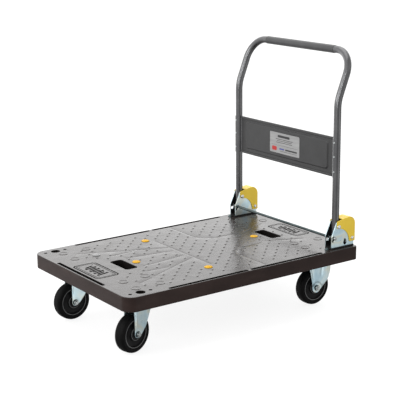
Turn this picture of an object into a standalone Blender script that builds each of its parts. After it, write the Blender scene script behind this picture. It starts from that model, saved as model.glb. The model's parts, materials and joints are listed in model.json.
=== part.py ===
# Folding platform cart.
# Frame: +X along the deck towards the push handle, +Y across the deck, +Z up.
# The origin is on the floor, under the middle of the deck.  Metres.
# "near" is the -Y side and "far" the +Y side; "front" is the end away from the handle.

import math
import bpy
import bmesh
from mathutils import Matrix, Vector

# ---------------------------------------------------------------- dimensions
GAP = 0.0003                 # clearance left between touching pieces

DECK_L = 0.920
DECK_W = 0.595
DECK_T = 0.0470
DECK_TOP = 0.2150
DECK_BOTTOM = DECK_TOP - DECK_T
FRONT_CORNER_R = 0.037
REAR_CORNER_R = 0.014
DECK_SKIN = 0.0070           # thickness of the top over the ribs
RIB = 0.0080
POCKET_X, POCKET_Y = 0.252, 0.274         # half sizes of the middle field of pockets
END_POCKETS_X = ((-0.434, -0.322), (0.340, 0.434))
END_POCKET_Y = 0.122

SIDE_SLOT_Y = 0.2870
SIDE_SLOT_W = 0.0120
SIDE_SLOTS = ((-0.305, -0.003), (0.009, 0.307))
FRONT_SLOT_X = -0.4485
FRONT_SLOT_HALF = 0.144
HAND_SLOT_L = 0.106
HAND_SLOT_W = 0.044
HAND_SLOT_X = (-0.288, 0.306)
POST_HOLE = (-0.393, 0.2645, 0.0140)
SMALL_HOLES_X = (-0.430, -0.357)
SMALL_HOLE_R = 0.0045

PLUG_R = 0.0135
PLUG_RISE = 0.0035
PLUG_SEAT = 0.0030
PLUGS = (("plug_front", -0.240, 0.0), ("plug_near", -0.085, -0.186),
         ("plug_far", -0.085, 0.186), ("plug_rear", 0.249, 0.005),
         ("plug_grey", -0.307, 0.142))

TUBE_R = 0.0127
TUBE_WALL = 0.0016
LEG_X = 0.383
LEG_Y = 0.2655
TAIL_Z = DECK_TOP + 0.037    # lower end of each leg
BEND_Z = DECK_TOP + 0.4723   # where the legs start to lean out
BEND_R = 0.1256
LEAN = math.radians(21.8)
LEAN_LEN = 0.1460            # from the end of the bend to the bar
CORNER_R = 0.0760
GRIP_HALF = 0.179
GRIP_R = 0.0136

PIVOT_X = LEG_X
PIVOT_Z = DECK_TOP + 0.0750
PIVOT_R = 0.0040

PANEL_Z0 = DECK_TOP + 0.2418
PANEL_Z1 = DECK_TOP + 0.3765
PANEL_T = 0.0020
PANEL_END = 0.2520

CHEEK_OUT = 0.0165           # outer face of a cheek from the leg's axis
CHEEK_T = 0.0030
BRACKET_X0 = 0.3530
BRACKET_X1 = 0.4521
PAD_T = 0.0050
COVER_T = 0.0025
COVER_X1 = 0.4555
COVER_ARC = (0.380, 0.019, 0.050)
COVER_PIN = (0.4430, 0.0290)
COVER_CORNER_R = 0.0270

ROD_X = 0.3652
ROD_Z = DECK_TOP + 0.0380
ROD_R = 0.0045
ROD_TRAVEL = 0.010
ROD_DIR = (-0.5, -math.sqrt(0.75))
SPRING_END = (0.4130, 0.0170)

WHEEL_R = 0.0625
WHEEL_HALF_W = 0.0172
SWIVEL_X = -0.342
SWIVEL_Y = 0.184
TRAIL = 0.042
SWIVEL_TURN = {"near": math.radians(13.9), "far": math.radians(2.8)}
RIGID_X = 0.355
RIGID_Y = 0.184
FORK_OUT = 0.0245
FORK_T = 0.0030
AXLE_R = 0.0050
PLATE_TOP = DECK_BOTTOM - GAP
PLATE_T = 0.0040

SIDES = (("near", -1.0), ("far", 1.0))

# ---------------------------------------------------------------- scene setup
for ob in list(bpy.data.objects):
    bpy.data.objects.remove(ob, do_unlink=True)

scene = bpy.context.scene
parts = bpy.data.collections.new("folding_platform_cart")
cutters = bpy.data.collections.new("cutters")
scene.collection.children.link(parts)
scene.collection.children.link(cutters)


def material(name, colour, rough, metal=0.0):
    m = bpy.data.materials.new(name)
    m.use_nodes = True
    b = m.node_tree.nodes["Principled BSDF"]
    b.inputs["Base Color"].default_value = (*colour, 1.0)
    b.inputs["Roughness"].default_value = rough
    b.inputs["Metallic"].default_value = metal
    m.diffuse_color = (*colour, 1.0)
    return m


FINISH = {
    "deck_plastic": ((0.075, 0.065, 0.060), 0.35, 0.0),
    "yellow_plastic": ((0.78, 0.54, 0.05), 0.40, 0.0),
    "grey_plastic": ((0.25, 0.25, 0.25), 0.45, 0.0),
    "black_rubber": ((0.015, 0.015, 0.015), 0.60, 0.0),
    "tyre_rubber": ((0.012, 0.012, 0.012), 0.55, 0.0),
    "wheel_plastic": ((0.020, 0.020, 0.020), 0.40, 0.0),
    "painted_steel": ((0.12, 0.12, 0.125), 0.35, 0.6),
    "zinc": ((0.55, 0.63, 0.66), 0.28, 1.0),
    "steel": ((0.55, 0.55, 0.56), 0.30, 1.0),
    "label": ((0.72, 0.72, 0.72), 0.45, 0.0),
}


def finish(ob, key):
    colour, rough, metal = FINISH[key]
    ob.data.materials.clear()
    ob.data.materials.append(material(ob.name + "_mat", colour, rough, metal))
    return ob


def add(name, mesh, coll, matrix=None):
    ob = bpy.data.objects.new(name, mesh)
    coll.objects.link(ob)
    if matrix is not None:
        ob.matrix_world = matrix
    if coll is cutters:
        ob.hide_render = True
        ob.display_type = 'WIRE'
    return ob


def smooth(mesh, deg=40.0):
    mesh.shade_smooth()
    mesh.set_sharp_from_angle(angle=math.radians(deg))


def box(name, lo, hi, coll):
    bm = bmesh.new()
    bmesh.ops.create_cube(bm, size=1.0)
    size = [hi[i] - lo[i] for i in range(3)]
    mid = [(hi[i] + lo[i]) / 2 for i in range(3)]
    bmesh.ops.scale(bm, vec=size, verts=bm.verts)
    me = bpy.data.meshes.new(name)
    bm.to_mesh(me)
    bm.free()
    return add(name, me, coll, Matrix.Translation(mid))


TURN_Y = Matrix.Rotation(math.radians(-90.0), 4, 'X')     # local Z to world Y


def cylinder(name, r, length, matrix, coll, sides=16, phase=0.0):
    bm = bmesh.new()
    bmesh.ops.create_cone(bm, cap_ends=True, segments=sides, radius1=r, radius2=r,
                          depth=length)
    if phase:
        bmesh.ops.rotate(bm, verts=bm.verts, matrix=Matrix.Rotation(phase, 3, 'Z'))
    me = bpy.data.meshes.new(name)
    bm.to_mesh(me)
    bm.free()
    smooth(me)
    return add(name, me, coll, matrix)


def curve_to_mesh(ob, name, coll):
    bpy.context.view_layer.update()
    dg = bpy.context.evaluated_depsgraph_get()
    me = bpy.data.meshes.new_from_object(ob.evaluated_get(dg))
    me.name = name
    bm = bmesh.new()
    bm.from_mesh(me)
    bmesh.ops.remove_doubles(bm, verts=bm.verts, dist=1e-6)
    bmesh.ops.recalc_face_normals(bm, faces=bm.faces)
    bm.to_mesh(me)
    bm.free()
    matrix = ob.matrix_world.copy()
    bpy.data.objects.remove(ob, do_unlink=True)
    return add(name, me, coll, matrix)


def flat(name, outline, thickness, matrix, coll):
    """A flat outline in the local XY plane, thickness along local Z."""
    cu = bpy.data.curves.new(name + "_outline", 'CURVE')
    cu.dimensions = '2D'
    cu.fill_mode = 'BOTH'
    cu.extrude = thickness / 2
    sp = cu.splines.new('POLY')
    sp.points.add(len(outline) - 1)
    for p, (x, y) in zip(sp.points, outline):
        p.co = (x, y, 0.0, 1.0)
    sp.use_cyclic_u = True
    ob = bpy.data.objects.new(name + "_outline", cu)
    scene.collection.objects.link(ob)
    ob.matrix_world = matrix
    return curve_to_mesh(ob, name, coll)


UPRIGHT = Matrix.Rotation(math.radians(90.0), 4, 'X')      # local XY to world XZ


def flat_xz(name, outline, y0, y1, coll):
    m = Matrix.Translation((0.0, (y0 + y1) / 2, 0.0)) @ UPRIGHT
    return flat(name, outline, abs(y1 - y0), m, coll)


def flat_xy(name, outline, z0, z1, coll):
    m = Matrix.Translation((0.0, 0.0, (z0 + z1) / 2))
    return flat(name, outline, abs(z1 - z0), m, coll)


def tube(name, path, r, coll, res=4):
    cu = bpy.data.curves.new(name + "_path", 'CURVE')
    cu.dimensions = '3D'
    cu.bevel_depth = r
    cu.bevel_resolution = res
    cu.use_fill_caps = True
    sp = cu.splines.new('POLY')
    sp.points.add(len(path) - 1)
    for p, co in zip(sp.points, path):
        p.co = (*co, 1.0)
    ob = bpy.data.objects.new(name + "_path", cu)
    scene.collection.objects.link(ob)
    out = curve_to_mesh(ob, name, coll)
    smooth(out.data)
    return out


def turned(name, profile, matrix, coll, steps=24, ring=False):
    """Profile of (radius, height) running down its outer side."""
    me = bpy.data.meshes.new(name)
    bm = bmesh.new()
    vs = [bm.verts.new((r, 0.0, h)) for r, h in profile]
    for a, b in zip(vs, vs[1:]):
        bm.edges.new((a, b))
    if ring:
        bm.edges.new((vs[-1], vs[0]))
    bm.to_mesh(me)
    bm.free()
    ob = add(name, me, coll, matrix)
    sc = ob.modifiers.new("Screw", 'SCREW')
    sc.steps = steps
    sc.render_steps = steps
    sc.use_merge_vertices = True
    sc.merge_threshold = 0.00001
    sc.use_smooth_shade = True
    return ob


def boolean(ob, other, op):
    md = ob.modifiers.new(op.title(), 'BOOLEAN')
    md.operation = op
    md.solver = 'EXACT'
    md.object = other
    return md


def cut(ob, other):
    return boolean(ob, other, 'DIFFERENCE')


def join(ob, other):
    return boolean(ob, other, 'UNION')


def arc(cx, cy, r, a0, a1, n):
    return [(cx + r * math.cos(a0 + (a1 - a0) * i / n),
             cy + r * math.sin(a0 + (a1 - a0) * i / n)) for i in range(n + 1)]


def rounded_rect(x0, y0, x1, y1, r, n=4):
    q = math.pi / 2
    return (arc(x1 - r, y1 - r, r, 0, q, n) + arc(x0 + r, y1 - r, r, q, 2 * q, n)
            + arc(x0 + r, y0 + r, r, 2 * q, 3 * q, n) + arc(x1 - r, y0 + r, r, 3 * q, 4 * q, n))


# ---------------------------------------------------------------- platform
def deck_outline():
    x, y, q = DECK_L / 2, DECK_W / 2, math.pi / 2
    rf, rr = FRONT_CORNER_R, REAR_CORNER_R
    return (arc(x - rr, y - rr, rr, 0, q, 4) + arc(-x + rf, y - rf, rf, q, 2 * q, 8)
            + arc(-x + rf, -y + rf, rf, 2 * q, 3 * q, 8) + arc(x - rr, -y + rr, rr, 3 * q, 4 * q, 4))


deck = finish(flat_xy("deck", deck_outline(), DECK_BOTTOM, DECK_TOP, parts), "deck_plastic")
LOW, HIGH = DECK_BOTTOM - 0.01, DECK_TOP + 0.01

slot_r = SIDE_SLOT_W / 2
for side, s in SIDES:
    for i, (x0, x1) in enumerate(SIDE_SLOTS):
        y = s * SIDE_SLOT_Y
        cut(deck, flat_xy("cut_slot_%s_%d" % (side, i),
                          rounded_rect(x0, y - slot_r, x1, y + slot_r, 0.004, 2), LOW, HIGH, cutters))
cut(deck, flat_xy("cut_slot_front",
                  rounded_rect(FRONT_SLOT_X - slot_r, -FRONT_SLOT_HALF, FRONT_SLOT_X + slot_r,
                               FRONT_SLOT_HALF, 0.004, 2), LOW, HIGH, cutters))
for i, x in enumerate(HAND_SLOT_X):
    cut(deck, flat_xy("cut_hand_slot_%d" % i,
                      rounded_rect(x - HAND_SLOT_W / 2, -HAND_SLOT_L / 2, x + HAND_SLOT_W / 2,
                                   HAND_SLOT_L / 2, 0.010, 3), LOW, HIGH, cutters))
for side, s in SIDES:
    x, y, r = POST_HOLE
    cut(deck, cylinder("cut_post_hole_" + side, r, HIGH - LOW,
                       Matrix.Translation((x, s * y, (LOW + HIGH) / 2)), cutters, 16))
    for i, hx in enumerate(SMALL_HOLES_X):
        cut(deck, cylinder("cut_small_hole_%s_%d" % (side, i), SMALL_HOLE_R, HIGH - LOW,
                           Matrix.Translation((hx, s * y, (LOW + HIGH) / 2)), cutters, 8))
for name, x, y in PLUGS:
    cut(deck, cylinder("cut_" + name, PLUG_R + GAP, 0.02,
                       Matrix.Translation((x, y, DECK_TOP - PLUG_SEAT + 0.01)), cutters, 16))

# Pockets between the ribs of the underside, clear of the casters, brackets and holes:
# three by three in the middle, and one at each end between the casters.
POCKETS = [(-POCKET_X, POCKET_X, -POCKET_Y, POCKET_Y, 3, 3)]
POCKETS += [(x0, x1, -END_POCKET_Y, END_POCKET_Y, 1, 1) for x0, x1 in END_POCKETS_X]

bm = bmesh.new()
for ax0, ax1, ay0, ay1, nx, ny in POCKETS:
    cell_x, cell_y = (ax1 - ax0) / nx, (ay1 - ay0) / ny
    for i in range(nx):
        for j in range(ny):
            x0, y0 = ax0 + i * cell_x + RIB / 2, ay0 + j * cell_y + RIB / 2
            x1, y1 = x0 + cell_x - RIB, y0 + cell_y - RIB
            z0, z1 = LOW, DECK_TOP - DECK_SKIN
            made = bmesh.ops.create_cube(bm, size=1.0)["verts"]
            bmesh.ops.scale(bm, vec=(x1 - x0, y1 - y0, z1 - z0), verts=made)
            bmesh.ops.translate(bm, vec=((x0 + x1) / 2, (y0 + y1) / 2, (z0 + z1) / 2), verts=made)
me = bpy.data.meshes.new("cut_pockets")
bm.to_mesh(me)
bm.free()
cut(deck, add("cut_pockets", me, cutters))

for name, x, y in PLUGS:
    h, e = PLUG_RISE, 0.0008
    base = -PLUG_SEAT + GAP
    dome = [(PLUG_R * math.sin(a), e + (h - e) * math.cos(a))
            for a in [math.radians(d) for d in (0, 35, 65, 90)]]
    prof = [(0.0, h)] + dome[1:] + [(PLUG_R, base), (0.0, base)]
    ob = turned(name, prof, Matrix.Translation((x, y, DECK_TOP)), parts, 16)
    finish(ob, "grey_plastic" if name == "plug_grey" else "yellow_plastic")


# ---------------------------------------------------------------- handle
def handle_path(below=0.0):
    half = [Vector((LEG_X, LEG_Y, TAIL_Z - below)), Vector((LEG_X, LEG_Y, BEND_Z))]
    n = 6
    for i in range(1, n + 1):
        a = LEAN * i / n
        half.append(Vector((LEG_X + BEND_R * (1 - math.cos(a)), LEG_Y, BEND_Z + BEND_R * math.sin(a))))
    run = Vector((math.sin(LEAN), 0.0, math.cos(LEAN)))
    start = half[-1] + run * (LEAN_LEN - CORNER_R)
    half.append(start)
    m = 7
    for i in range(1, m + 1):
        b = math.pi / 2 * i / m
        half.append(start + run * (CORNER_R * math.sin(b))
                    + Vector((0.0, -CORNER_R * (1 - math.cos(b)), 0.0)))
    other = [Vector((p.x, -p.y, p.z)) for p in reversed(half)]
    return half + other


BAR = handle_path()[15]
BAR_X, BAR_Z = BAR.x, BAR.z

handle = tube("handle_tube", handle_path(), TUBE_R, parts, 4)
cut(handle, tube("cut_handle_bore", handle_path(0.01), TUBE_R - TUBE_WALL, cutters, 4))
for side, s in SIDES:
    m = Matrix.Translation((PIVOT_X, s * LEG_Y, PIVOT_Z)) @ TURN_Y
    cut(handle, cylinder("cut_leg_pivot_" + side, PIVOT_R + GAP, 0.05, m, cutters, 12))
finish(handle, "painted_steel")

m = Matrix.Translation((BAR_X, 0.0, BAR_Z)) @ TURN_Y
grip = turned("grip_sleeve", [(GRIP_R - 0.0003, GRIP_HALF), (GRIP_R, GRIP_HALF - 0.0005),
                              (GRIP_R, -GRIP_HALF + 0.0005), (GRIP_R - 0.0003, -GRIP_HALF),
                              (TUBE_R + GAP, -GRIP_HALF), (TUBE_R + GAP, GRIP_HALF)],
              m, parts, 16, ring=True)
finish(grip, "painted_steel")

# Panel: a flat sheet with a raised field, folded hems and a tab curled over the front
# of each leg.
panel = box("handle_panel", (LEG_X - PANEL_T / 2, -PANEL_END, PANEL_Z0 + 0.0005),
            (LEG_X + PANEL_T / 2, PANEL_END, PANEL_Z1 - 0.0005), parts)
FIELD_Y, FIELD_Z0, FIELD_Z1 = 0.2225, DECK_TOP + 0.2635, DECK_TOP + 0.3600
join(panel, box("add_panel_field", (LEG_X - 0.0035, -FIELD_Y, FIELD_Z0),
                (LEG_X + 0.0004, FIELD_Y, FIELD_Z1), cutters))
for nm, z0, z1 in (("top", PANEL_Z1 - 0.0085, PANEL_Z1), ("bottom", PANEL_Z0, PANEL_Z0 + 0.0085)):
    join(panel, box("add_panel_hem_" + nm, (LEG_X - 0.0040, -0.2445, z0),
                    (LEG_X + 0.0040, 0.2445, z1), cutters))
TAB_IN, TAB_OUT = TUBE_R + GAP, TUBE_R + GAP + 0.0016
for side, s in SIDES:
    a0, a1 = math.radians(-22), math.radians(150)
    ring = (arc(0, 0, TAB_OUT, a0, a1, 12) + arc(0, 0, TAB_IN, a1, a0, 12))
    # angle 0 faces the panel, 90 degrees faces the front
    pts = [(LEG_X - v, s * (LEG_Y - u)) for u, v in ring]
    join(panel, flat_xy("add_panel_tab_" + side, pts, PANEL_Z0 + 0.001, PANEL_Z1 - 0.001, cutters))
finish(panel, "painted_steel")

LABEL_Y, LABEL_Z0, LABEL_Z1 = 0.080, DECK_TOP + 0.2755, DECK_TOP + 0.3480
label = flat("label_plate", rounded_rect(-LABEL_Y, LABEL_Z0, LABEL_Y, LABEL_Z1, 0.003, 2), 0.0006,
             Matrix.Translation((LEG_X - 0.0035 - GAP - 0.0003, 0.0, 0.0))
             @ Matrix.Rotation(math.radians(90), 4, 'Z') @ UPRIGHT, parts)
finish(label, "label")


# ---------------------------------------------------------------- brackets and lock
def cover_line(d):
    """The cover's top and back line moved in by d, from above the leg to the back foot."""
    t = Vector((0.985, 0.174)).normalized()
    n = Vector((-t.y, t.x))
    p = Vector((0.425, 0.104)) - n * d
    r = COVER_CORNER_R
    cx = COVER_X1 - r
    cz = 0.104 + (-r - (cx - 0.425) * n.x) / n.y
    a1 = math.atan2(n.y, n.x)
    top = lambda x: (x, p.y + (x - p.x) * t.y / t.x)
    return top, arc(cx, cz, r - d, a1, 0.0, 7)


def cheek_outline():
    top, corner = cover_line(0.0034)
    pts = [(BRACKET_X0, PAD_T), (BRACKET_X0, 0.043), (0.3745, top(0.3745)[1] - 0.0006)]
    pts += [top(0.381)] + corner + [(BRACKET_X1, PAD_T)]
    return [(x, DECK_TOP + z) for x, z in pts]


def cover_outline():
    top, corner = cover_line(0.0)
    cx, cz, r = COVER_ARC
    lo = arc(cx, cz, r, math.radians(2.5), math.radians(93.0), 12)
    pts = [(0.3738, top(0.3738)[1] - 0.003), (0.3768, top(0.3768)[1])] + corner
    pts += [(COVER_X1, 0.020), (COVER_X1 - 0.003, 0.017), (0.4330, 0.017), (0.4305, 0.0185)] + lo
    return [(x, DECK_TOP + z) for x, z in pts]


def band_outline():
    top, corner = cover_line(0.0001)
    topi, corneri = cover_line(0.0030)
    pts = [top(0.401)] + corner + [(COVER_X1 - 0.0001, 0.0175), (COVER_X1 - 0.0030, 0.0175)]
    pts += list(reversed(corneri)) + [topi(0.401)]
    return [(x, DECK_TOP + z) for x, z in pts]


def slot_outline(x, z, dx, dz, r):
    a = math.atan2(dz, dx)
    q = math.pi / 2
    return (arc(x, z, r, a + q, a + 3 * q, 6) + arc(x + dx, z + dz, r, a - q, a + q, 6))


def hook_hole():
    pts = [(0.413, 0.0075), (0.4180, 0.0140), (0.4170, 0.0205), (0.4145, 0.0290),
           (0.4115, 0.0290), (0.4090, 0.0205), (0.4080, 0.0140)]
    return [(x, DECK_TOP + z) for x, z in pts]


for side, s in SIDES:
    yc = s * LEG_Y
    pad = box("bracket_pad_" + side, (BRACKET_X0 + 0.001, yc - 0.0160, DECK_TOP + GAP),
              (BRACKET_X1 - 0.001, yc + 0.0160, DECK_TOP + PAD_T - GAP), parts)
    finish(pad, "black_rubber")

    # channel: a floor and two cheeks
    br = box("bracket_" + side, (BRACKET_X0 + 0.0004, yc - 0.0150, DECK_TOP + PAD_T + 0.0004),
             (BRACKET_X1 - 0.0004, yc + 0.0150, DECK_TOP + PAD_T + 0.0034), parts)
    for k, q in (("outer", s), ("inner", -s)):
        join(br, flat_xz("add_cheek_%s_%s" % (k, side), cheek_outline(),
                         yc + q * (CHEEK_OUT - CHEEK_T), yc + q * CHEEK_OUT, cutters))
    dx, dz = ROD_DIR[0] * ROD_TRAVEL, ROD_DIR[1] * ROD_TRAVEL
    cut(br, flat_xz("cut_rod_slot_" + side, slot_outline(ROD_X, ROD_Z, dx, dz, ROD_R + GAP),
                    yc - 0.03, yc + 0.03, cutters))
    cut(br, cylinder("cut_pivot_" + side, PIVOT_R + GAP, 0.06,
                     Matrix.Translation((PIVOT_X, yc, PIVOT_Z)) @ TURN_Y, cutters, 12))
    cut(br, cylinder("cut_cover_pin_" + side, 0.0030 + GAP, 0.06,
                     Matrix.Translation((COVER_PIN[0], yc, DECK_TOP + COVER_PIN[1])) @ TURN_Y, cutters, 12))
    cut(br, flat_xz("cut_hook_hole_" + side, hook_hole(), yc + s * 0.010, yc + s * 0.020, cutters))
    finish(br, "zinc")

    # cover: two walls and the band over the top and back
    c0, c1 = CHEEK_OUT + GAP, CHEEK_OUT + GAP + COVER_T
    cv = flat_xz("bracket_cover_" + side, cover_outline(), yc + s * c0, yc + s * c1, parts)
    join(cv, flat_xz("add_cover_inner_" + side, cover_outline(), yc - s * c0, yc - s * c1, cutters))
    join(cv, flat_xz("add_cover_band_" + side, band_outline(), yc - c1 + 0.0006, yc + c1 - 0.0006, cutters))
    cut(cv, cylinder("cut_cover_pivot_" + side, PIVOT_R + GAP, 0.06,
                     Matrix.Translation((PIVOT_X, yc, PIVOT_Z)) @ TURN_Y, cutters, 12))
    cut(cv, cylinder("cut_cover_rear_" + side, 0.0030 + GAP, 0.06,
                     Matrix.Translation((COVER_PIN[0], yc, DECK_TOP + COVER_PIN[1])) @ TURN_Y, cutters, 12))
    finish(cv, "yellow_plastic")

    # pins with a domed head at each end
    for nm, px, pz, r, hr, hh in (("pivot_bolt_", PIVOT_X, PIVOT_Z, PIVOT_R, 0.0070, 0.0034),
                                  ("cover_pin_", COVER_PIN[0], DECK_TOP + COVER_PIN[1], 0.0030, 0.0058, 0.0028)):
        e = c1 + GAP
        prof = [(0.0, e + hh), (hr * 0.55, e + hh * 0.86), (hr * 0.88, e + hh * 0.5), (hr, e),
                (r, e), (r, -e), (hr, -e), (hr * 0.88, -e - hh * 0.5), (hr * 0.55, -e - hh * 0.86),
                (0.0, -e - hh)]
        ob = turned(nm + side, prof, Matrix.Translation((px, yc, pz)) @ TURN_Y, parts, 12)
        finish(ob, "steel")

    # bolt that holds the channel's foot, in front of it
    fx = BRACKET_X0 - 0.0095
    prof = [(0.0, 0.0058), (0.0040, 0.0050), (0.0062, 0.0028), (0.0066, 0.0012), (0.0078, 0.0011),
            (0.0078, GAP), (0.0, GAP)]
    finish(turned("foot_bolt_" + side, prof, Matrix.Translation((fx, yc + s * 0.004, DECK_TOP)), parts, 12), "steel")

# Lock rod across both channels, with a cap at each end
ROD_HALF = LEG_Y + CHEEK_OUT + 0.0030
rod = cylinder("lock_rod", ROD_R, 2 * ROD_HALF, Matrix.Translation((ROD_X, 0.0, ROD_Z)) @ TURN_Y, parts, 16)
finish(rod, "zinc")
for side, s in SIDES:
    z0 = ROD_HALF + GAP
    prof = [(0.0, z0 + 0.0042), (0.0035, z0 + 0.0036), (0.0056, z0 + 0.0020), (0.0062, z0), (0.0, z0)]
    turn = TURN_Y if s > 0 else Matrix.Rotation(math.pi, 4, 'X') @ TURN_Y
    ob = turned("rod_cap_" + side, prof, Matrix.Translation((ROD_X, 0.0, ROD_Z)) @ turn, parts, 16)
    finish(ob, "zinc")


def spring_path(s):
    """Hook over the rod, coil, and a hook out through the outer cheek."""
    yc = s * LEG_Y
    wire, coil = 0.0006, 0.0034
    a = Vector((ROD_X, yc, ROD_Z))
    b = Vector((SPRING_END[0], yc, DECK_TOP + SPRING_END[1]))
    ax = (b - a).normalized()
    up = Vector((-ax.z, 0.0, ax.x))
    if up.z < 0:
        up = -up
    hook_r = ROD_R + wire + 0.0007
    pts = []
    for i in range(7):
        t = math.radians(110 + 175 * i / 6)
        pts.append(a + ax * (hook_r * math.cos(t)) + up * (hook_r * math.sin(t)))
    s0, s1, turns, per = 0.0115, 0.0415, 5, 7
    for i in range(turns * per + 1):
        t = -math.pi / 2 + 2 * math.pi * i / per
        d = s0 + (s1 - s0) * i / (turns * per)
        pts.append(a + ax * d + up * (coil * math.sin(t)) + Vector((0.0, coil * math.cos(t), 0.0)))
    pts.append(b - ax * 0.003 + up * 0.0008)
    pts.append(b + Vector((0.0, s * 0.003, 0.0)))
    pts.append(b + Vector((0.0, s * 0.0165, 0.0)))
    pts.append(b + Vector((0.0012, s * 0.0178, 0.002)))
    pts.append(b + Vector((0.0050, s * 0.0178, 0.009)))
    return pts, wire


for side, s in SIDES:
    path, wire = spring_path(s)
    finish(tube("lock_spring_" + side, path, wire, parts, 1), "steel")


# ---------------------------------------------------------------- casters
def wheel(tag, centre, turn):
    """Tyre, wheel centre, bush, axle bolt and nut about one axle."""
    m = Matrix.Translation(centre) @ Matrix.Rotation(turn, 4, 'Z') @ TURN_Y
    w, r = WHEEL_HALF_W, WHEEL_R
    half = [(r, 0.0040), (r - 0.0014, 0.0100), (r - 0.0050, 0.0142), (r - 0.0105, 0.0162), (0.0470, w)]
    prof = ([(q, h) for q, h in reversed(half)] + [(q, -h) for q, h in half]
            + [(0.0463, -w), (0.0463, w)])
    finish(turned("tyre_" + tag, prof, m, parts, 28, ring=True), "tyre_rubber")
    rim = 0.0460
    prof = [(rim, w - 0.0004), (rim, -w + 0.0004), (0.0430, -w + 0.0004), (0.0405, -0.0100),
            (0.0225, -0.0100), (0.0200, -0.0190), (0.0083, -0.0190),
            (0.0083, 0.0190), (0.0200, 0.0190), (0.0225, 0.0100),
            (0.0405, 0.0100), (0.0430, w - 0.0004)]
    finish(turned("wheel_centre_" + tag, prof, m, parts, 20, ring=True), "wheel_plastic")
    b = FORK_OUT - FORK_T - GAP
    finish(turned("wheel_bush_" + tag, [(0.0080, b), (0.0080, -b), (AXLE_R + GAP, -b), (AXLE_R + GAP, b)],
                  m, parts, 12, ring=True), "steel")
    # axle bolt: head on the +Y side, plain end beyond the nut on the -Y side
    e = FORK_OUT + GAP
    bolt = cylinder("axle_bolt_" + tag, AXLE_R, 2 * e + 0.013, m @ Matrix.Translation((0, 0, -0.004)), parts, 12)
    join(bolt, cylinder("add_bolt_head_" + tag, 0.0092, 0.0062,
                        m @ Matrix.Translation((0, 0, e + 0.0031)), cutters, 6, 0.2))
    finish(bolt, "steel")
    nut = cylinder("axle_nut_" + tag, 0.0092, 0.0070, m @ Matrix.Translation((0, 0, -e - 0.0035)), parts, 6, 0.4)
    cut(nut, cylinder("cut_nut_" + tag, AXLE_R + GAP, 0.02, m @ Matrix.Translation((0, 0, -e - 0.0035)), cutters, 12))
    finish(nut, "steel")


def leg_hole(ob, tag, centre, turn):
    m = Matrix.Translation(centre) @ Matrix.Rotation(turn, 4, 'Z') @ TURN_Y
    cut(ob, cylinder("cut_axle_" + tag, AXLE_R + GAP, 0.08, m, cutters, 12))


# swivel casters, at the front; the fork trails towards the front
for side, s in SIDES:
    turn = SWIVEL_TURN[side]
    c = Vector((SWIVEL_X, s * SWIVEL_Y, 0.0))
    place = Matrix.Translation(c) @ Matrix.Rotation(turn, 4, 'Z')
    z0 = PLATE_TOP - PLATE_T
    plate = flat_xy("swivel_plate_" + side, rounded_rect(c.x - 0.0525, c.y - 0.050, c.x + 0.0525, c.y + 0.050, 0.006, 3),
                    z0, PLATE_TOP, parts)
    race = [(0.0345, z0 + 0.001), (0.0345, 0.1610), (0.0385, 0.1595), (0.0385, 0.1540), (0.0360, 0.1530),
            (0.0063, 0.1530), (0.0063, z0 + 0.001)]
    join(plate, turned("add_race_" + side, race, Matrix.Translation((c.x, c.y, 0.0)), cutters, 16, ring=True))
    cut(plate, cylinder("cut_king_" + side, 0.0063, 0.03, Matrix.Translation((c.x, c.y, 0.1650)), cutters, 16))
    finish(plate, "zinc")

    crown0, crown1 = 0.1490, 0.1526
    ax = -TRAIL
    fork = flat("swivel_fork_" + side,
                arc(0.0, 0.0, 0.0345, math.radians(-44), math.radians(44), 6)
                + [(ax - 0.0095, 0.0240), (ax - 0.0095, -0.0240)],
                crown1 - crown0, place @ Matrix.Translation((0, 0, (crown0 + crown1) / 2)), parts)
    zc = WHEEL_R
    leg = [(ax - 0.0105, crown1 - 0.0004), (ax - 0.0112, zc + 0.002)]
    leg += arc(ax, zc, 0.0118, math.radians(185), math.radians(330), 8)
    leg += [(ax + 0.0180, zc - 0.0040), (ax + 0.0370, zc + 0.0170), (ax + 0.0520, zc + 0.0500),
            (ax + 0.0640, zc + 0.0760), (ax + 0.0665, crown1 - 0.0004)]
    for k, q in (("a", 1.0), ("b", -1.0)):
        mm = place @ Matrix.Translation((0, q * (FORK_OUT - FORK_T / 2), 0)) @ UPRIGHT
        join(fork, flat("add_leg_%s_%s" % (k, side), leg, FORK_T, mm, cutters))
    cut(fork, cylinder("cut_crown_" + side, 0.0063, 0.03, Matrix.Translation((c.x, c.y, 0.1508)), cutters, 16))
    wc = place @ Vector((ax, 0.0, WHEEL_R))
    leg_hole(fork, "front_" + side, wc, turn)
    finish(fork, "zinc")

    king = [(0.0, 0.1600), (0.0060, 0.1600), (0.0060, crown0 - GAP), (0.0105, crown0 - GAP),
            (0.0105, crown0 - 0.0055), (0.0060, crown0 - 0.0062), (0.0, crown0 - 0.0062)]
    finish(turned("king_pin_" + side, king, Matrix.Translation((c.x, c.y, 0.0)), parts, 16), "steel")
    wheel("front_" + side, wc, turn)

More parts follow.
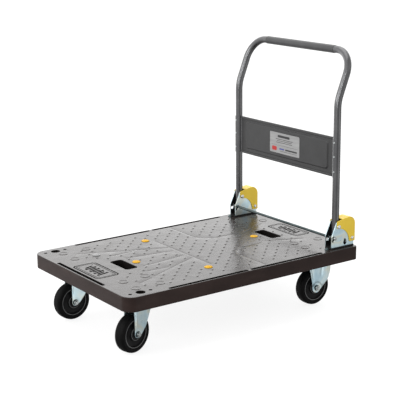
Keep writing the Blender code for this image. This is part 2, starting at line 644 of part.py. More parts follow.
# rigid casters, at the handle end
for side, s in SIDES:
    c = Vector((RIGID_X, s * RIGID_Y, 0.0))
    z0 = PLATE_TOP - PLATE_T
    fork = flat_xy("rigid_fork_" + side, rounded_rect(c.x - 0.062, c.y - 0.050, c.x + 0.062, c.y + 0.050, 0.006, 3),
                   z0, PLATE_TOP, parts)
    zc = WHEEL_R
    top = PLATE_TOP - 0.0005
    leg = [(-0.0540, top), (-0.0540, 0.1600), (-0.0440, 0.1500), (-0.0310, 0.1320), (-0.0270, 0.1180),
           (-0.0180, zc + 0.0060)]
    leg += arc(0.0, zc, 0.0180, math.radians(180), math.radians(330), 8)
    leg += [(0.0270, zc + 0.0010), (0.0430, zc + 0.0180), (0.0510, zc + 0.0300), (0.0600, zc + 0.0560),
            (0.0585, 0.1600), (0.0585, top)]
    for k, q in (("a", 1.0), ("b", -1.0)):
        mm = Matrix.Translation((c.x, c.y + q * (FORK_OUT - FORK_T / 2), 0)) @ UPRIGHT
        join(fork, flat("add_rigid_leg_%s_%s" % (k, side), leg, FORK_T, mm, cutters))
    wc = c + Vector((0, 0, WHEEL_R))
    leg_hole(fork, "rear_" + side, wc, 0.0)
    finish(fork, "zinc")
    wheel("rear_" + side, wc, 0.0)
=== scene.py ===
import json
import math
import bpy
import bmesh
from mathutils import Matrix, Vector
from mathutils.geometry import delaunay_2d_cdt


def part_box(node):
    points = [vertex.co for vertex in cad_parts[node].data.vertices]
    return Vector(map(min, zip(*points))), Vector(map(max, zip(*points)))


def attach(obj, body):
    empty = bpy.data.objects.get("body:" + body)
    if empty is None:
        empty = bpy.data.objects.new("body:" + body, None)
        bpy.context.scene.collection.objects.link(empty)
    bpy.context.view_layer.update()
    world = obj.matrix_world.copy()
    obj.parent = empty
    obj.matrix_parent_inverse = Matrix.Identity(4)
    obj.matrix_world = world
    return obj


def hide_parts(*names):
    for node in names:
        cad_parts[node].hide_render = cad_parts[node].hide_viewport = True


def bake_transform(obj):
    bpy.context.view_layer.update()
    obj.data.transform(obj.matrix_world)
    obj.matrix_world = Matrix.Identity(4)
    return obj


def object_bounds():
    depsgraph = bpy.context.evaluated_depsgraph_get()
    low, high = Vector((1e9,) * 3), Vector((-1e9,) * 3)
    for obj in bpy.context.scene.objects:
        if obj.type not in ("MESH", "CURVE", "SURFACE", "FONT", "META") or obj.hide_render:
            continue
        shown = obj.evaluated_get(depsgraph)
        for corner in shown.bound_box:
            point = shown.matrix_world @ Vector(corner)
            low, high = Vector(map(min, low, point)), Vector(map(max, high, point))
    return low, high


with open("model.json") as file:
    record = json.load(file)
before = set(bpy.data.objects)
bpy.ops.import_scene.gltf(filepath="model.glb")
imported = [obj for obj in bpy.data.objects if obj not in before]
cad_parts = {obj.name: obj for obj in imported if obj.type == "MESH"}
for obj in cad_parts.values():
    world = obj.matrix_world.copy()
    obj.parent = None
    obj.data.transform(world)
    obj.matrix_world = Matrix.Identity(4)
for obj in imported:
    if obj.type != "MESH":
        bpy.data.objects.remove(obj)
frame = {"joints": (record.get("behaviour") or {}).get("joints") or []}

bpy.context.view_layer.update()
CAD_LO, CAD_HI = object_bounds()
scene = bpy.context.scene
PI = math.pi


def mid(node):
    lo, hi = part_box(node)
    return (lo + hi) / 2


JOINT = {j["name"]: j for j in frame["joints"]}
SIDES = (("near", -1.0), ("far", 1.0))

# ------------------------------------------------------------------ shader helpers


def nodes_of(name):
    m = bpy.data.materials.new(name)
    m.use_nodes = True
    nt = m.node_tree
    return m, nt, nt.nodes["Principled BSDF"]


def mapped(nt, scale=(1.0, 1.0, 1.0)):
    tc = nt.nodes.new("ShaderNodeTexCoord")
    if scale == (1.0, 1.0, 1.0):
        return tc.outputs["Object"]
    mp = nt.nodes.new("ShaderNodeMapping")
    mp.inputs["Scale"].default_value = scale
    nt.links.new(tc.outputs["Object"], mp.inputs["Vector"])
    return mp.outputs["Vector"]


def noise(nt, vec, scale, detail=3.0, rough=0.55, distort=0.0):
    n = nt.nodes.new("ShaderNodeTexNoise")
    n.inputs["Scale"].default_value = scale
    n.inputs["Detail"].default_value = detail
    n.inputs["Roughness"].default_value = rough
    n.inputs["Distortion"].default_value = distort
    nt.links.new(vec, n.inputs["Vector"])
    return n.outputs["Fac"]


def ramp(nt, fac, stops):
    r = nt.nodes.new("ShaderNodeValToRGB")
    el = r.color_ramp.elements
    while len(el) < len(stops):
        el.new(0.5)
    for e, (p, c) in zip(el, stops):
        e.position = p
        e.color = (*c, 1.0) if len(c) == 3 else c
    nt.links.new(fac, r.inputs["Fac"])
    return r.outputs["Color"]


def span(nt, fac, lo, hi, a=0.3, b=0.7):
    m = nt.nodes.new("ShaderNodeMapRange")
    m.inputs["From Min"].default_value = a
    m.inputs["From Max"].default_value = b
    m.inputs["To Min"].default_value = lo
    m.inputs["To Max"].default_value = hi
    nt.links.new(fac, m.inputs["Value"])
    return m.outputs["Result"]


def bump(nt, bsdf, height, strength, distance):
    b = nt.nodes.new("ShaderNodeBump")
    b.inputs["Strength"].default_value = strength
    b.inputs["Distance"].default_value = distance
    nt.links.new(height, b.inputs["Height"])
    nt.links.new(b.outputs["Normal"], bsdf.inputs["Normal"])


def add2(nt, a, b, wa=1.0, wb=1.0):
    m1 = nt.nodes.new("ShaderNodeMath"); m1.operation = 'MULTIPLY'
    m1.inputs[1].default_value = wa
    nt.links.new(a, m1.inputs[0])
    m2 = nt.nodes.new("ShaderNodeMath"); m2.operation = 'MULTIPLY_ADD'
    m2.inputs[1].default_value = wb
    nt.links.new(b, m2.inputs[0])
    nt.links.new(m1.outputs[0], m2.inputs[2])
    return m2.outputs[0]


def finish_mat(name, colours, scale=14.0, rough=(0.3, 0.4), rough_scale=30.0, metal=0.0, grain=1400.0,
               grain_strength=0.1, grain_depth=0.0002, stretch=(1.0, 1.0, 1.0), specular=0.5, coat=0.0,
               coat_rough=0.1, ior=1.5, detail=4.0, speck=0.0, wave=None):
    """A surface whose colour wanders between the given colours, with its own sheen and fine grain."""
    m, nt, b = nodes_of(name)
    v = mapped(nt, stretch)
    f = noise(nt, v, scale, detail, 0.6, 0.3)
    n = len(colours)
    stops = [(0.30 + 0.40 * i / max(1, n - 1), c) for i, c in enumerate(colours)]
    if speck:
        f = add2(nt, f, noise(nt, v, grain * 0.6, 2.0, 0.5), 1.0 - speck, speck)
    nt.links.new(ramp(nt, f, stops), b.inputs["Base Color"])
    r = add2(nt, noise(nt, v, rough_scale, 4.0, 0.6), noise(nt, v, rough_scale * 9, 2.0, 0.5), 0.6, 0.4)
    nt.links.new(span(nt, r, rough[0], rough[1]), b.inputs["Roughness"])
    b.inputs["Metallic"].default_value = metal
    b.inputs["Specular IOR Level"].default_value = specular
    b.inputs["IOR"].default_value = ior
    b.inputs["Coat Weight"].default_value = coat
    b.inputs["Coat Roughness"].default_value = coat_rough
    g = add2(nt, noise(nt, v, grain, 3.0, 0.6), noise(nt, v, grain * 0.12, 2.0, 0.5), 0.75, 0.25)
    bump(nt, b, g, grain_strength, grain_depth)
    if wave:
        low = nt.nodes.new("ShaderNodeBump")
        low.inputs["Strength"].default_value = wave[1]
        low.inputs["Distance"].default_value = wave[2]
        nt.links.new(noise(nt, mapped(nt, wave[3] if len(wave) > 3 else (1.0, 1.0, 1.0)), wave[0], 3.0, 0.5, 0.6), low.inputs["Height"])
        nt.links.new(low.outputs["Normal"], b.inputs["Normal"].links[0].from_node.inputs["Normal"])
    return m


DECK = finish_mat("moulded_deck_plastic", [(0.021, 0.0165, 0.0150), (0.025, 0.0200, 0.0180), (0.031, 0.0250, 0.0225)],
                  scale=5.0, rough=(0.21, 0.30), rough_scale=16.0, grain=1700.0, grain_strength=0.16,
                  grain_depth=0.00008, ior=1.52, wave=(14.0, 0.50, 0.0016))
DECK_SIDE = finish_mat("moulded_deck_edge", [(0.021, 0.0130, 0.0115), (0.027, 0.0168, 0.0148), (0.035, 0.0222, 0.0196)],
                       scale=7.0, rough=(0.36, 0.50), rough_scale=20.0, grain=900.0, grain_strength=0.12,
                       grain_depth=0.0001, specular=0.12, wave=(18.0, 0.30, 0.0008, (1.0, 1.0, 0.2)), stretch=(1.0, 1.0, 2.5))
# Painted shade: a much darker copy of the deck plastic for the walls of the through holes, standing in for the shade
# inside them.
DECK_BORE_PAINTED_SHADE = finish_mat("deck_cut_wall_painted_shade", [(0.006, 0.005, 0.0045), (0.010, 0.008, 0.0075)],
                       scale=30.0, rough=(0.70, 0.85), rough_scale=60.0, grain=900.0, grain_strength=0.2, specular=0.04)
DECK_UNDER = finish_mat("deck_plastic_unpolished", [(0.018, 0.015, 0.0135), (0.023, 0.019, 0.017)],
                        scale=8.0, rough=(0.42, 0.55), rough_scale=22.0, grain=1200.0, grain_strength=0.2)
# Matte moulded texture for the sunk marks. Its colour is much darker than the deck, which is painted shade in the
# recesses.
DECK_RECESS_TEXTURE_AND_SHADE = finish_mat("deck_recess_texture_and_painted_shade", [(0.008, 0.0072, 0.0068), (0.014, 0.0125, 0.012)],
                       scale=60.0, rough=(0.70, 0.85), rough_scale=90.0, grain=2600.0, grain_strength=0.5,
                       specular=0.0)
YELLOW = finish_mat("yellow_cover_plastic", [(0.76, 0.525, 0.028), (0.82, 0.575, 0.033), (0.87, 0.615, 0.040)],
                    scale=9.0, rough=(0.30, 0.42), rough_scale=26.0, grain=1500.0, grain_strength=0.14,
                    grain_depth=0.00012)
YELLOW_PLUG = finish_mat("yellow_plug_plastic", [(0.62, 0.335, 0.018), (0.68, 0.385, 0.024)],
                         scale=40.0, rough=(0.46, 0.56), rough_scale=70.0, grain=2000.0, grain_strength=0.1, specular=0.10)
GREY_PLUG = finish_mat("grey_plug_plastic", [(0.17, 0.17, 0.17), (0.23, 0.23, 0.23)],
                       scale=40.0, rough=(0.30, 0.42), rough_scale=70.0, grain=2000.0, grain_strength=0.12)
PAINT = finish_mat("handle_enamel", [(0.095, 0.095, 0.098), (0.120, 0.120, 0.124), (0.145, 0.145, 0.149)],
                   scale=18.0, rough=(0.17, 0.25), rough_scale=40.0, metal=0.80, grain=2600.0,
                   grain_strength=0.06, grain_depth=0.00008, coat=0.30, coat_rough=0.10, speck=0.25)
PANEL_PAINT = finish_mat("panel_enamel", [(0.019, 0.019, 0.0198), (0.025, 0.025, 0.0258), (0.031, 0.031, 0.0318)],
                         scale=16.0, rough=(0.40, 0.52), rough_scale=30.0, metal=0.15, grain=900.0,
                         grain_strength=0.22, grain_depth=0.00015, coat=0.15, coat_rough=0.3, speck=0.3)
GRIP = finish_mat("grip_sleeve_vinyl", [(0.036, 0.036, 0.0375), (0.050, 0.050, 0.0515)],
                  scale=30.0, rough=(0.32, 0.42), rough_scale=60.0, grain=1300.0, grain_strength=0.35,
                  grain_depth=0.0002)
TYRE = finish_mat("tyre_rubber", [(0.0030, 0.0030, 0.0031), (0.0045, 0.0045, 0.0046), (0.0070, 0.0068, 0.0066)],
                  scale=30.0, rough=(0.50, 0.64), rough_scale=60.0, grain=900.0, grain_strength=0.25,
                  grain_depth=0.0002, specular=0.06)
RIM = finish_mat("wheel_moulding", [(0.0055, 0.0055, 0.0058), (0.0090, 0.0090, 0.0094)],
                 scale=40.0, rough=(0.36, 0.50), rough_scale=60.0, grain=1600.0, grain_strength=0.15, specular=0.12)
# Painted highlight: a light grey for thin rings on the crests of the rim lip and the hub lip.
RIM_PAINTED_HIGHLIGHT = finish_mat("wheel_rim_painted_highlight", [(0.090, 0.090, 0.092), (0.120, 0.120, 0.123)],
                      scale=60.0, rough=(0.30, 0.42), rough_scale=90.0, grain=1600.0, grain_strength=0.12)
# Painted shade: a dark copy of the plated steel for the foot rod, foot bolts, far rod head and the washers under the
# axle nuts.
DARK_SHADED_STEEL = finish_mat("steel_with_painted_shade", [(0.055, 0.072, 0.074), (0.085, 0.108, 0.110), (0.12, 0.145, 0.146)],
                       scale=70.0, rough=(0.30, 0.42), rough_scale=120.0, metal=1.0, grain=2200.0, grain_strength=0.1,
                       stretch=(1.0, 0.3, 1.0))
PAD = finish_mat("bracket_pad_rubber", [(0.006, 0.006, 0.006), (0.011, 0.011, 0.011)],
                 scale=50.0, rough=(0.6, 0.75), rough_scale=80.0, grain=1200.0, grain_strength=0.3, specular=0.3)
# Painted shade: a near-black finish for the faces inside the bracket channel, standing in for the shade that falls
# there.
CHANNEL_PAINTED_SHADE = finish_mat("channel_inside_painted_shade", [(0.004, 0.004, 0.004), (0.008, 0.008, 0.008)],
                   scale=60.0, rough=(0.65, 0.8), rough_scale=70.0, grain=900.0, grain_strength=0.3, specular=0.15)
STEEL = finish_mat("bolt_steel", [(0.30, 0.32, 0.32), (0.42, 0.45, 0.45), (0.56, 0.59, 0.58)],
                   scale=90.0, rough=(0.24, 0.40), rough_scale=180.0, metal=1.0, grain=2600.0, grain_strength=0.12)
DOME = finish_mat("rivet_steel", [(0.66, 0.68, 0.69), (0.78, 0.80, 0.81)],
                  scale=90.0, rough=(0.20, 0.32), rough_scale=180.0, metal=1.0, grain=2600.0, grain_strength=0.08)
LABEL = finish_mat("label_foil", [(0.27, 0.27, 0.27), (0.31, 0.31, 0.31), (0.35, 0.35, 0.347)],
                   scale=12.0, rough=(0.34, 0.44), rough_scale=30.0, metal=0.25, grain=1500.0,
                   grain_strength=0.06, stretch=(1.0, 1.0, 9.0))
INK = finish_mat("label_ink_black", [(0.010, 0.010, 0.011), (0.018, 0.018, 0.019)], scale=120.0,
                 rough=(0.4, 0.55), rough_scale=200.0, grain=2600.0, grain_strength=0.05)
INK_RED = finish_mat("label_ink_red", [(0.40, 0.008, 0.006), (0.46, 0.013, 0.010)], scale=120.0,
                     rough=(0.4, 0.5), rough_scale=200.0, grain=2600.0, grain_strength=0.05)
INK_BLUE = finish_mat("label_ink_blue", [(0.045, 0.055, 0.22), (0.06, 0.07, 0.27)], scale=120.0,
                      rough=(0.4, 0.5), rough_scale=200.0, grain=2600.0, grain_strength=0.05)


def zinc_mat(name, dark=1.0):
    """Bright zinc plating: bluish passivation that drifts to straw and violet, with rolling marks."""
    m, nt, b = nodes_of(name)
    v = mapped(nt)
    broad = noise(nt, v, 11.0, 3.0, 0.5, 1.2)
    tint = ramp(nt, broad, [(0.28, (0.46 * dark, 0.62 * dark, 0.70 * dark)), (0.42, (0.54 * dark, 0.70 * dark, 0.76 * dark)),
                            (0.52, (0.62 * dark, 0.74 * dark, 0.76 * dark)), (0.59, (0.66 * dark, 0.69 * dark, 0.61 * dark)),
                            (0.66, (0.52 * dark, 0.68 * dark, 0.76 * dark)), (0.76, (0.57 * dark, 0.62 * dark, 0.75 * dark))])
    streak = noise(nt, mapped(nt, (160.0, 160.0, 9.0)), 1.0, 3.0, 0.6)
    mix = nt.nodes.new("ShaderNodeMix"); mix.data_type = 'RGBA'; mix.blend_type = 'MULTIPLY'
    mix.inputs["Factor"].default_value = 0.45
    nt.links.new(tint, mix.inputs["A"])
    nt.links.new(ramp(nt, streak, [(0.3, (0.80, 0.82, 0.83)), (0.7, (1.0, 1.0, 1.0))]), mix.inputs["B"])
    nt.links.new(mix.outputs["Result"], b.inputs["Base Color"])
    nt.links.new(span(nt, add2(nt, noise(nt, v, 45.0, 4.0, 0.6), streak, 0.6, 0.4), 0.24, 0.38), b.inputs["Roughness"])
    b.inputs["Metallic"].default_value = 1.0
    b.inputs["Specular IOR Level"].default_value = 0.5
    bump(nt, b, add2(nt, noise(nt, v, 700.0, 3.0, 0.6), streak, 0.5, 0.5), 0.10, 0.0002)
    return m


ZINC = zinc_mat("zinc_plate")

# ------------------------------------------------------------------ mesh helpers


def arc(cx, cy, r, a0, a1, n):
    return [(cx + r * math.cos(a0 + (a1 - a0) * i / n),
             cy + r * math.sin(a0 + (a1 - a0) * i / n)) for i in range(n + 1)]


def circle(cx, cy, r, n):
    return [(cx + r * math.cos(2 * PI * i / n), cy + r * math.sin(2 * PI * i / n)) for i in range(n)]


def rounded_rect(x0, y0, x1, y1, r, n=4):
    q = PI / 2
    return (arc(x1 - r, y1 - r, r, 0, q, n) + arc(x0 + r, y1 - r, r, q, 2 * q, n)
            + arc(x0 + r, y0 + r, r, 2 * q, 3 * q, n) + arc(x1 - r, y0 + r, r, 3 * q, 4 * q, n))


def rounded(pts, closed=True, n=5):
    """Corners (x, y, r) turned into arcs of radius r."""
    out = []
    k = len(pts)
    for i, (x, y, r) in enumerate(pts):
        if r <= 0 or (not closed and i in (0, k - 1)):
            out.append((x, y))
            continue
        p = Vector((x, y))
        a = Vector(pts[i - 1][:2]) - p
        b = Vector(pts[(i + 1) % k][:2]) - p
        la, lb = a.length, b.length
        a, b = a / la, b / lb
        half = math.acos(max(-1.0, min(1.0, a.dot(b)))) / 2
        if half > PI / 2 - 0.01:
            out.append((x, y))
            continue
        t = min(r / math.tan(half), la * 0.48, lb * 0.48)
        rr = t * math.tan(half)
        c = p + (a + b).normalized() * (rr / math.sin(half))
        s, e = p + a * t - c, p + b * t - c
        a0, a1 = math.atan2(s.y, s.x), math.atan2(e.y, e.x)
        while a1 - a0 > PI:
            a1 -= 2 * PI
        while a1 - a0 < -PI:
            a1 += 2 * PI
        out += [(c.x + rr * math.cos(a0 + (a1 - a0) * j / n), c.y + rr * math.sin(a0 + (a1 - a0) * j / n))
                for j in range(n + 1)]
    return out


def area2(pts):
    return sum(pts[i][0] * pts[(i + 1) % len(pts)][1] - pts[(i + 1) % len(pts)][0] * pts[i][1]
               for i in range(len(pts)))


def ccw(pts):
    return list(pts) if area2(pts) > 0 else list(reversed(pts))


def offset(pts, d):
    """The closed outline (counter-clockwise) moved inwards by d, or outwards if d is negative."""
    out = []
    k = len(pts)
    for i in range(k):
        p = Vector(pts[i])
        a = (p - Vector(pts[i - 1]))
        b = (Vector(pts[(i + 1) % k]) - p)
        if a.length < 1e-9:
            a = b
        if b.length < 1e-9:
            b = a
        a.normalize(); b.normalize()
        na, nb = Vector((-a.y, a.x)), Vector((-b.y, b.x))
        m = na + nb
        if m.length < 1e-6:
            m = na
        m.normalize()
        c = max(0.35, m.dot(na))
        q = p + m * (d / c)
        out.append((q.x, q.y))
    return out


class Mesh:
    def __init__(self):
        self.v, self.f, self.m = [], [], []

    def pt(self, p):
        self.v.append(tuple(p))
        return len(self.v) - 1

    def loop(self, pts2, z, place=None):
        if place is None:
            return [self.pt((x, y, z)) for x, y in pts2]
        return [self.pt(place @ Vector((x, y, z))) for x, y in pts2]

    def face(self, ids, mat=0):
        self.f.append(tuple(ids)); self.m.append(mat)

    def bridge(self, a, b, mat=0, closed=True):
        n = len(a)
        for i in range(n if closed else n - 1):
            j = (i + 1) % n
            self.face((a[i], a[j], b[j], b[i]), mat)

    def fan(self, loop, centre, mat=0):
        c = self.pt(centre)
        for i in range(len(loop)):
            self.face((loop[i], loop[(i + 1) % len(loop)], c), mat)

    def region(self, loops, ids, mat=0, inner=(), inner_ids=()):
        """Fills between nested closed outlines (2D points with their vertex numbers) by parity."""
        co, edges, flat_ids = [], [], []
        for pts, idl in zip(loops, ids):
            s = len(co)
            co += [Vector((p[0] * 1000.0, p[1] * 1000.0)) for p in pts]
            flat_ids += list(idl)
            edges += [(s + i, s + (i + 1) % len(pts)) for i in range(len(pts))]
        for p, i in zip(inner, inner_ids):
            co.append(Vector((p[0] * 1000.0, p[1] * 1000.0)))
            flat_ids.append(i)
        vo, eo, fo, ov, oe, _ = delaunay_2d_cdt(co, edges, [], 0, 1e-6)
        wall = set()
        for e, src in zip(eo, oe):
            if src:
                wall.add((min(e), max(e)))
        tris = [tuple(t) for t in fo if len(t) == 3]
        by_edge = {}
        for ti, t in enumerate(tris):
            for i in range(3):
                a, b = t[i], t[(i + 1) % 3]
                by_edge.setdefault((min(a, b), max(a, b)), []).append(ti)
        state = {}
        queue = []
        for e, ts in by_edge.items():
            if len(ts) == 1 and ts[0] not in state:
                state[ts[0]] = 1 if e in wall else 0
                queue.append(ts[0])
        while queue:
            ti = queue.pop()
            t = tris[ti]
            for i in range(3):
                a, b = t[i], t[(i + 1) % 3]
                e = (min(a, b), max(a, b))
                for tj in by_edge[e]:
                    if tj not in state:
                        state[tj] = state[ti] ^ (1 if e in wall else 0)
                        queue.append(tj)
        for ti, t in enumerate(tris):
            if state.get(ti):
                self.face([flat_ids[ov[k][0]] for k in t], mat)

    def make(self, name, mats, deg=38.0, weighted=True, weld=0.0):
        me = bpy.data.meshes.new(name)
        me.from_pydata(self.v, [], self.f)
        me.update()
        for m in mats:
            me.materials.append(m)
        me.polygons.foreach_set("material_index", self.m)
        bm = bmesh.new()
        bm.from_mesh(me)
        if weld:
            bmesh.ops.remove_doubles(bm, verts=bm.verts, dist=weld)
        bmesh.ops.dissolve_degenerate(bm, edges=bm.edges, dist=1e-8)
        bmesh.ops.recalc_face_normals(bm, faces=bm.faces)
        bm.to_mesh(me)
        bm.free()
        me.shade_smooth()
        me.set_sharp_from_angle(angle=math.radians(deg))
        ob = bpy.data.objects.new(name, me)
        scene.collection.objects.link(ob)
        if weighted:
            w = ob.modifiers.new("Weighted", 'WEIGHTED_NORMAL')
            w.keep_sharp = True
            w.weight = 80
        return ob


def plate(b, outer, holes, t0, t1, place, c=0.0006, seg=3, mat=0, mat0=None, mat1=None, disp=None, grid=0.0, ch=None):
    """A flat or pressed sheet with rounded edges. disp(u, v) moves both faces of the sheet."""
    dz = disp or (lambda u, v: 0.0)
    full = c
    mat0 = mat if mat0 is None else mat0
    mat1 = mat if mat1 is None else mat1
    tops, bots, top_pts = [], [], []
    for k, line in enumerate([outer] + list(holes)):
        line = ccw(line)
        c = full if k == 0 or ch is None else ch
        s = 1.0 if k == 0 else -1.0
        rings = []
        for i in range(seg + 1):
            a = PI / 2 * i / seg
            o = offset(line, s * c * (1 - math.sin(a)))
            rings.append((o, t1 - c + c * math.cos(a)))
        low = [(o, t0 + (t1 - z)) for o, z in reversed(rings)]
        rings = rings + low
        made = []
        for o, z in rings:
            made.append([b.pt(place @ Vector((x, y, z + dz(x, y)))) for x, y in o])
        for r0, r1 in zip(made, made[1:]):
            b.bridge(r0, r1, mat)
        tops.append(made[0]); bots.append(made[-1]); top_pts.append(rings[0][0])
    inner = []
    if grid:
        o = top_pts[0]
        xs, ys = [p[0] for p in o], [p[1] for p in o]
        nx = max(2, int((max(xs) - min(xs)) / grid)); ny = max(2, int((max(ys) - min(ys)) / grid))
        for i in range(1, nx):
            for j in range(1, ny):
                u = min(xs) + (max(xs) - min(xs)) * i / nx
                v = min(ys) + (max(ys) - min(ys)) * j / ny
                if inside(u, v, top_pts, grid * 0.45):
                    inner.append((u, v))
    it = [b.pt(place @ Vector((u, v, t1 + dz(u, v)))) for u, v in inner]
    ib = [b.pt(place @ Vector((u, v, t0 + dz(u, v)))) for u, v in inner]
    b.region(top_pts, tops, mat1, inner, it)
    b.region(top_pts, bots, mat0, inner, ib)


def inside(u, v, loops, margin):
    hit = False
    for pts in loops:
        k = len(pts)
        for i in range(k):
            x0, y0 = pts[i]
            x1, y1 = pts[(i + 1) % k]
            if (y0 > v) != (y1 > v) and u < (x1 - x0) * (v - y0) / (y1 - y0) + x0:
                hit = not hit
            dx, dy = x1 - x0, y1 - y0
            l2 = dx * dx + dy * dy
            t = 0.0 if l2 == 0 else max(0.0, min(1.0, ((u - x0) * dx + (v - y0) * dy) / l2))
            if (u - x0 - t * dx) ** 2 + (v - y0 - t * dy) ** 2 < margin * margin:
                return False
    return hit


def lathe(b, profile, place, steps=48, closed=False, mat=0):
    """Turns (radius, height) about local Z. A radius of 0 is a point on the axis."""
    rings = []
    for r, h in profile:
        if r < 1e-7:
            rings.append([b.pt(place @ Vector((0, 0, h)))])
        else:
            rings.append([b.pt(place @ Vector((r * math.cos(2 * PI * i / steps), r * math.sin(2 * PI * i / steps), h)))
                          for i in range(steps)])
    pairs = list(zip(rings, rings[1:]))
    if closed:
        pairs.append((rings[-1], rings[0]))
    for a, c in pairs:
        if len(a) == 1 and len(c) == 1:
            continue
        if len(a) == 1:
            for i in range(steps):
                b.face((a[0], c[i], c[(i + 1) % steps]), mat)
        elif len(c) == 1:
            for i in range(steps):
                b.face((a[i], a[(i + 1) % steps], c[0]), mat)
        else:
            b.bridge(a, c, mat)


def sweep(b, path, radius, sides=24, mat=0, wall=0.0, bore=0.0, cap=True):
    """A round bar along a path, or a tube with open ends when wall is set."""
    path = [Vector(p) for p in path]
    t = [(path[min(i + 1, len(path) - 1)] - path[max(i - 1, 0)]).normalized() for i in range(len(path))]
    n = t[0].orthogonal().normalized()
    rings = []
    frames = []
    for i, p in enumerate(path):
        n = (n - t[i] * n.dot(t[i])).normalized()
        frames.append((p, n.copy(), t[i].cross(n)))

    def ring(fr, r, along=0.0, ti=0):
        p, u, w = fr
        return [b.pt(p + t[ti] * along + (u * math.cos(2 * PI * k / sides) + w * math.sin(2 * PI * k / sides)) * r)
                for k in range(sides)]
    last = len(path) - 1
    e = min(0.0005, radius * 0.25)
    rings.append(ring(frames[0], radius - e, 0.0, 0))
    rings.append(ring(frames[0], radius, e, 0))
    for i in range(1, last):
        rings.append(ring(frames[i], radius))
    rings.append(ring(frames[last], radius, -e, last))
    rings.append(ring(frames[last], radius - e, 0.0, last))
    for a, c in zip(rings, rings[1:]):
        b.bridge(a, c, mat)
    for end, fr, s in ((0, frames[0], 1.0), (last, frames[last], -1.0)):
        outer = rings[0] if end == 0 else rings[-1]
        p = fr[0]
        if wall:
            r1 = ring(fr, radius - wall, 0.0, end)
            r2 = ring(fr, radius - wall, s * bore, end)
            b.bridge(outer, r1, mat)
            b.bridge(r1, r2, mat)
            b.fan(r2, p + t[end] * (s * bore), mat)
        elif cap:
            b.fan(outer, p, mat)


UPRIGHT = Matrix.Rotation(PI / 2, 4, 'X')           # local XY to world XZ, local Z to world -Y
TURN_Y = Matrix.Rotation(-PI / 2, 4, 'X')           # local Z to world Y


def put(ob, body, slot, *nodes):
    if nodes:
        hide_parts(*nodes)
    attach(ob, body)
    return ob


# ------------------------------------------------------------------ platform
D_LO, D_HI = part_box("deck")
TOP, BOTTOM = D_HI.z, D_LO.z
HX, HY = D_HI.x, D_HI.y
R_FRONT, R_REAR = 0.037, 0.014


def deck_outline(d):
    x, y, q = HX - d, HY - d, PI / 2
    rf, rr = R_FRONT - d, R_REAR - d
    return (arc(x - rr, y - rr, rr, 0, q, 8) + arc(-x + rf, y - rf, rf, q, 2 * q, 18)
            + arc(-x + rf, -y + rf, rf, 2 * q, 3 * q, 18) + arc(x - rr, -y + rr, rr, 3 * q, 4 * q, 8))


deck = Mesh()
TOP_R, LOW_R = 0.0022, 0.0014
rings = []
for i in range(6):
    a = PI / 2 * i / 5
    rings.append(deck.loop(deck_outline(TOP_R * (1 - math.sin(a))), TOP - TOP_R + TOP_R * math.cos(a)))
for i in range(4):
    a = PI / 2 * i / 3
    rings.append(deck.loop(deck_outline(LOW_R * (1 - math.cos(a))), BOTTOM + LOW_R - LOW_R * math.sin(a)))
for i, (a, c) in enumerate(zip(rings, rings[1:])):
    deck.bridge(a, c, 3 if i >= 3 else 0)
top_loops, top_ids = [deck_outline(TOP_R)], [rings[0]]
low_loops, low_ids = [deck_outline(LOW_R)], [rings[-1]]
keep_out = []                                      # (x, y, radius) and boxes that the grip dots leave free


def through(outline, c=0.0012, seg=3):
    line = ccw(outline)
    made = []
    first = None
    for i in range(seg + 1):
        a = PI / 2 * i / seg
        o = offset(line, -c * (1 - math.sin(a)))
        first = first or o
        made.append(deck.loop(o, TOP - c + c * math.cos(a)))
    for i in range(seg):
        a = PI / 2 * (i + 1) / seg
        o = offset(line, -0.001 * (1 - math.cos(a)))
        if i == 0:
            made.append(deck.loop(line, BOTTOM + 0.001))
        made.append(deck.loop(o, BOTTOM + 0.001 - 0.001 * math.sin(a)))
    # the lower walls of each hole take slot 4, the painted shade finish
    for i, (p, q) in enumerate(zip(made, made[1:])):
        deck.bridge(p, q, 4 if i >= seg - 1 else 0)
    top_loops.append(first); top_ids.append(made[0])
    low_loops.append(o); low_ids.append(made[-1])


def recess(outline, depth, floor=1, c=0.0004):
    """A shallow sunk shape with a floor."""
    line = ccw(outline)
    a = deck.loop(line, TOP)
    b2 = deck.loop(offset(line, c * 0.6), TOP - c)
    b3 = deck.loop(offset(line, c), TOP - depth)
    deck.bridge(a, b2, floor); deck.bridge(b2, b3, floor)
    fl = offset(line, c)
    deck.region([fl], [b3], floor)
    top_loops.append(line); top_ids.append(a)


def groove_closed(outline, w=0.0014, depth=0.0007, floor=0):
    line = ccw(outline)
    o, i = offset(line, -w / 2), offset(line, w / 2)
    lo, li = deck.loop(o, TOP), deck.loop(i, TOP)
    bo, bi = deck.loop(offset(line, -w * 0.22), TOP - depth), deck.loop(offset(line, w * 0.22), TOP - depth)
    deck.bridge(lo, bo, floor); deck.bridge(bo, bi, floor); deck.bridge(bi, li, floor)
    top_loops.extend([o, i]); top_ids.extend([lo, li])


def boss(x, y, r=0.0160):
    """A low round pad standing on the top face, dished a little in its middle."""
    made = []
    for rr, h in ((r, 0.0), (r - 0.0006, 0.00075), (r - 0.0016, 0.00115), (r - 0.0028, 0.00100), (r - 0.0038, 0.00045), (r - 0.0050, 0.00030)):
        made.append(deck.loop(circle(x, y, rr, 40), TOP + h))
    for p, q in zip(made, made[1:]):
        deck.bridge(p, q)
    deck.fan(made[-1], (x, y, TOP + 0.00030))
    top_loops.append(circle(x, y, r, 40)); top_ids.append(made[0])


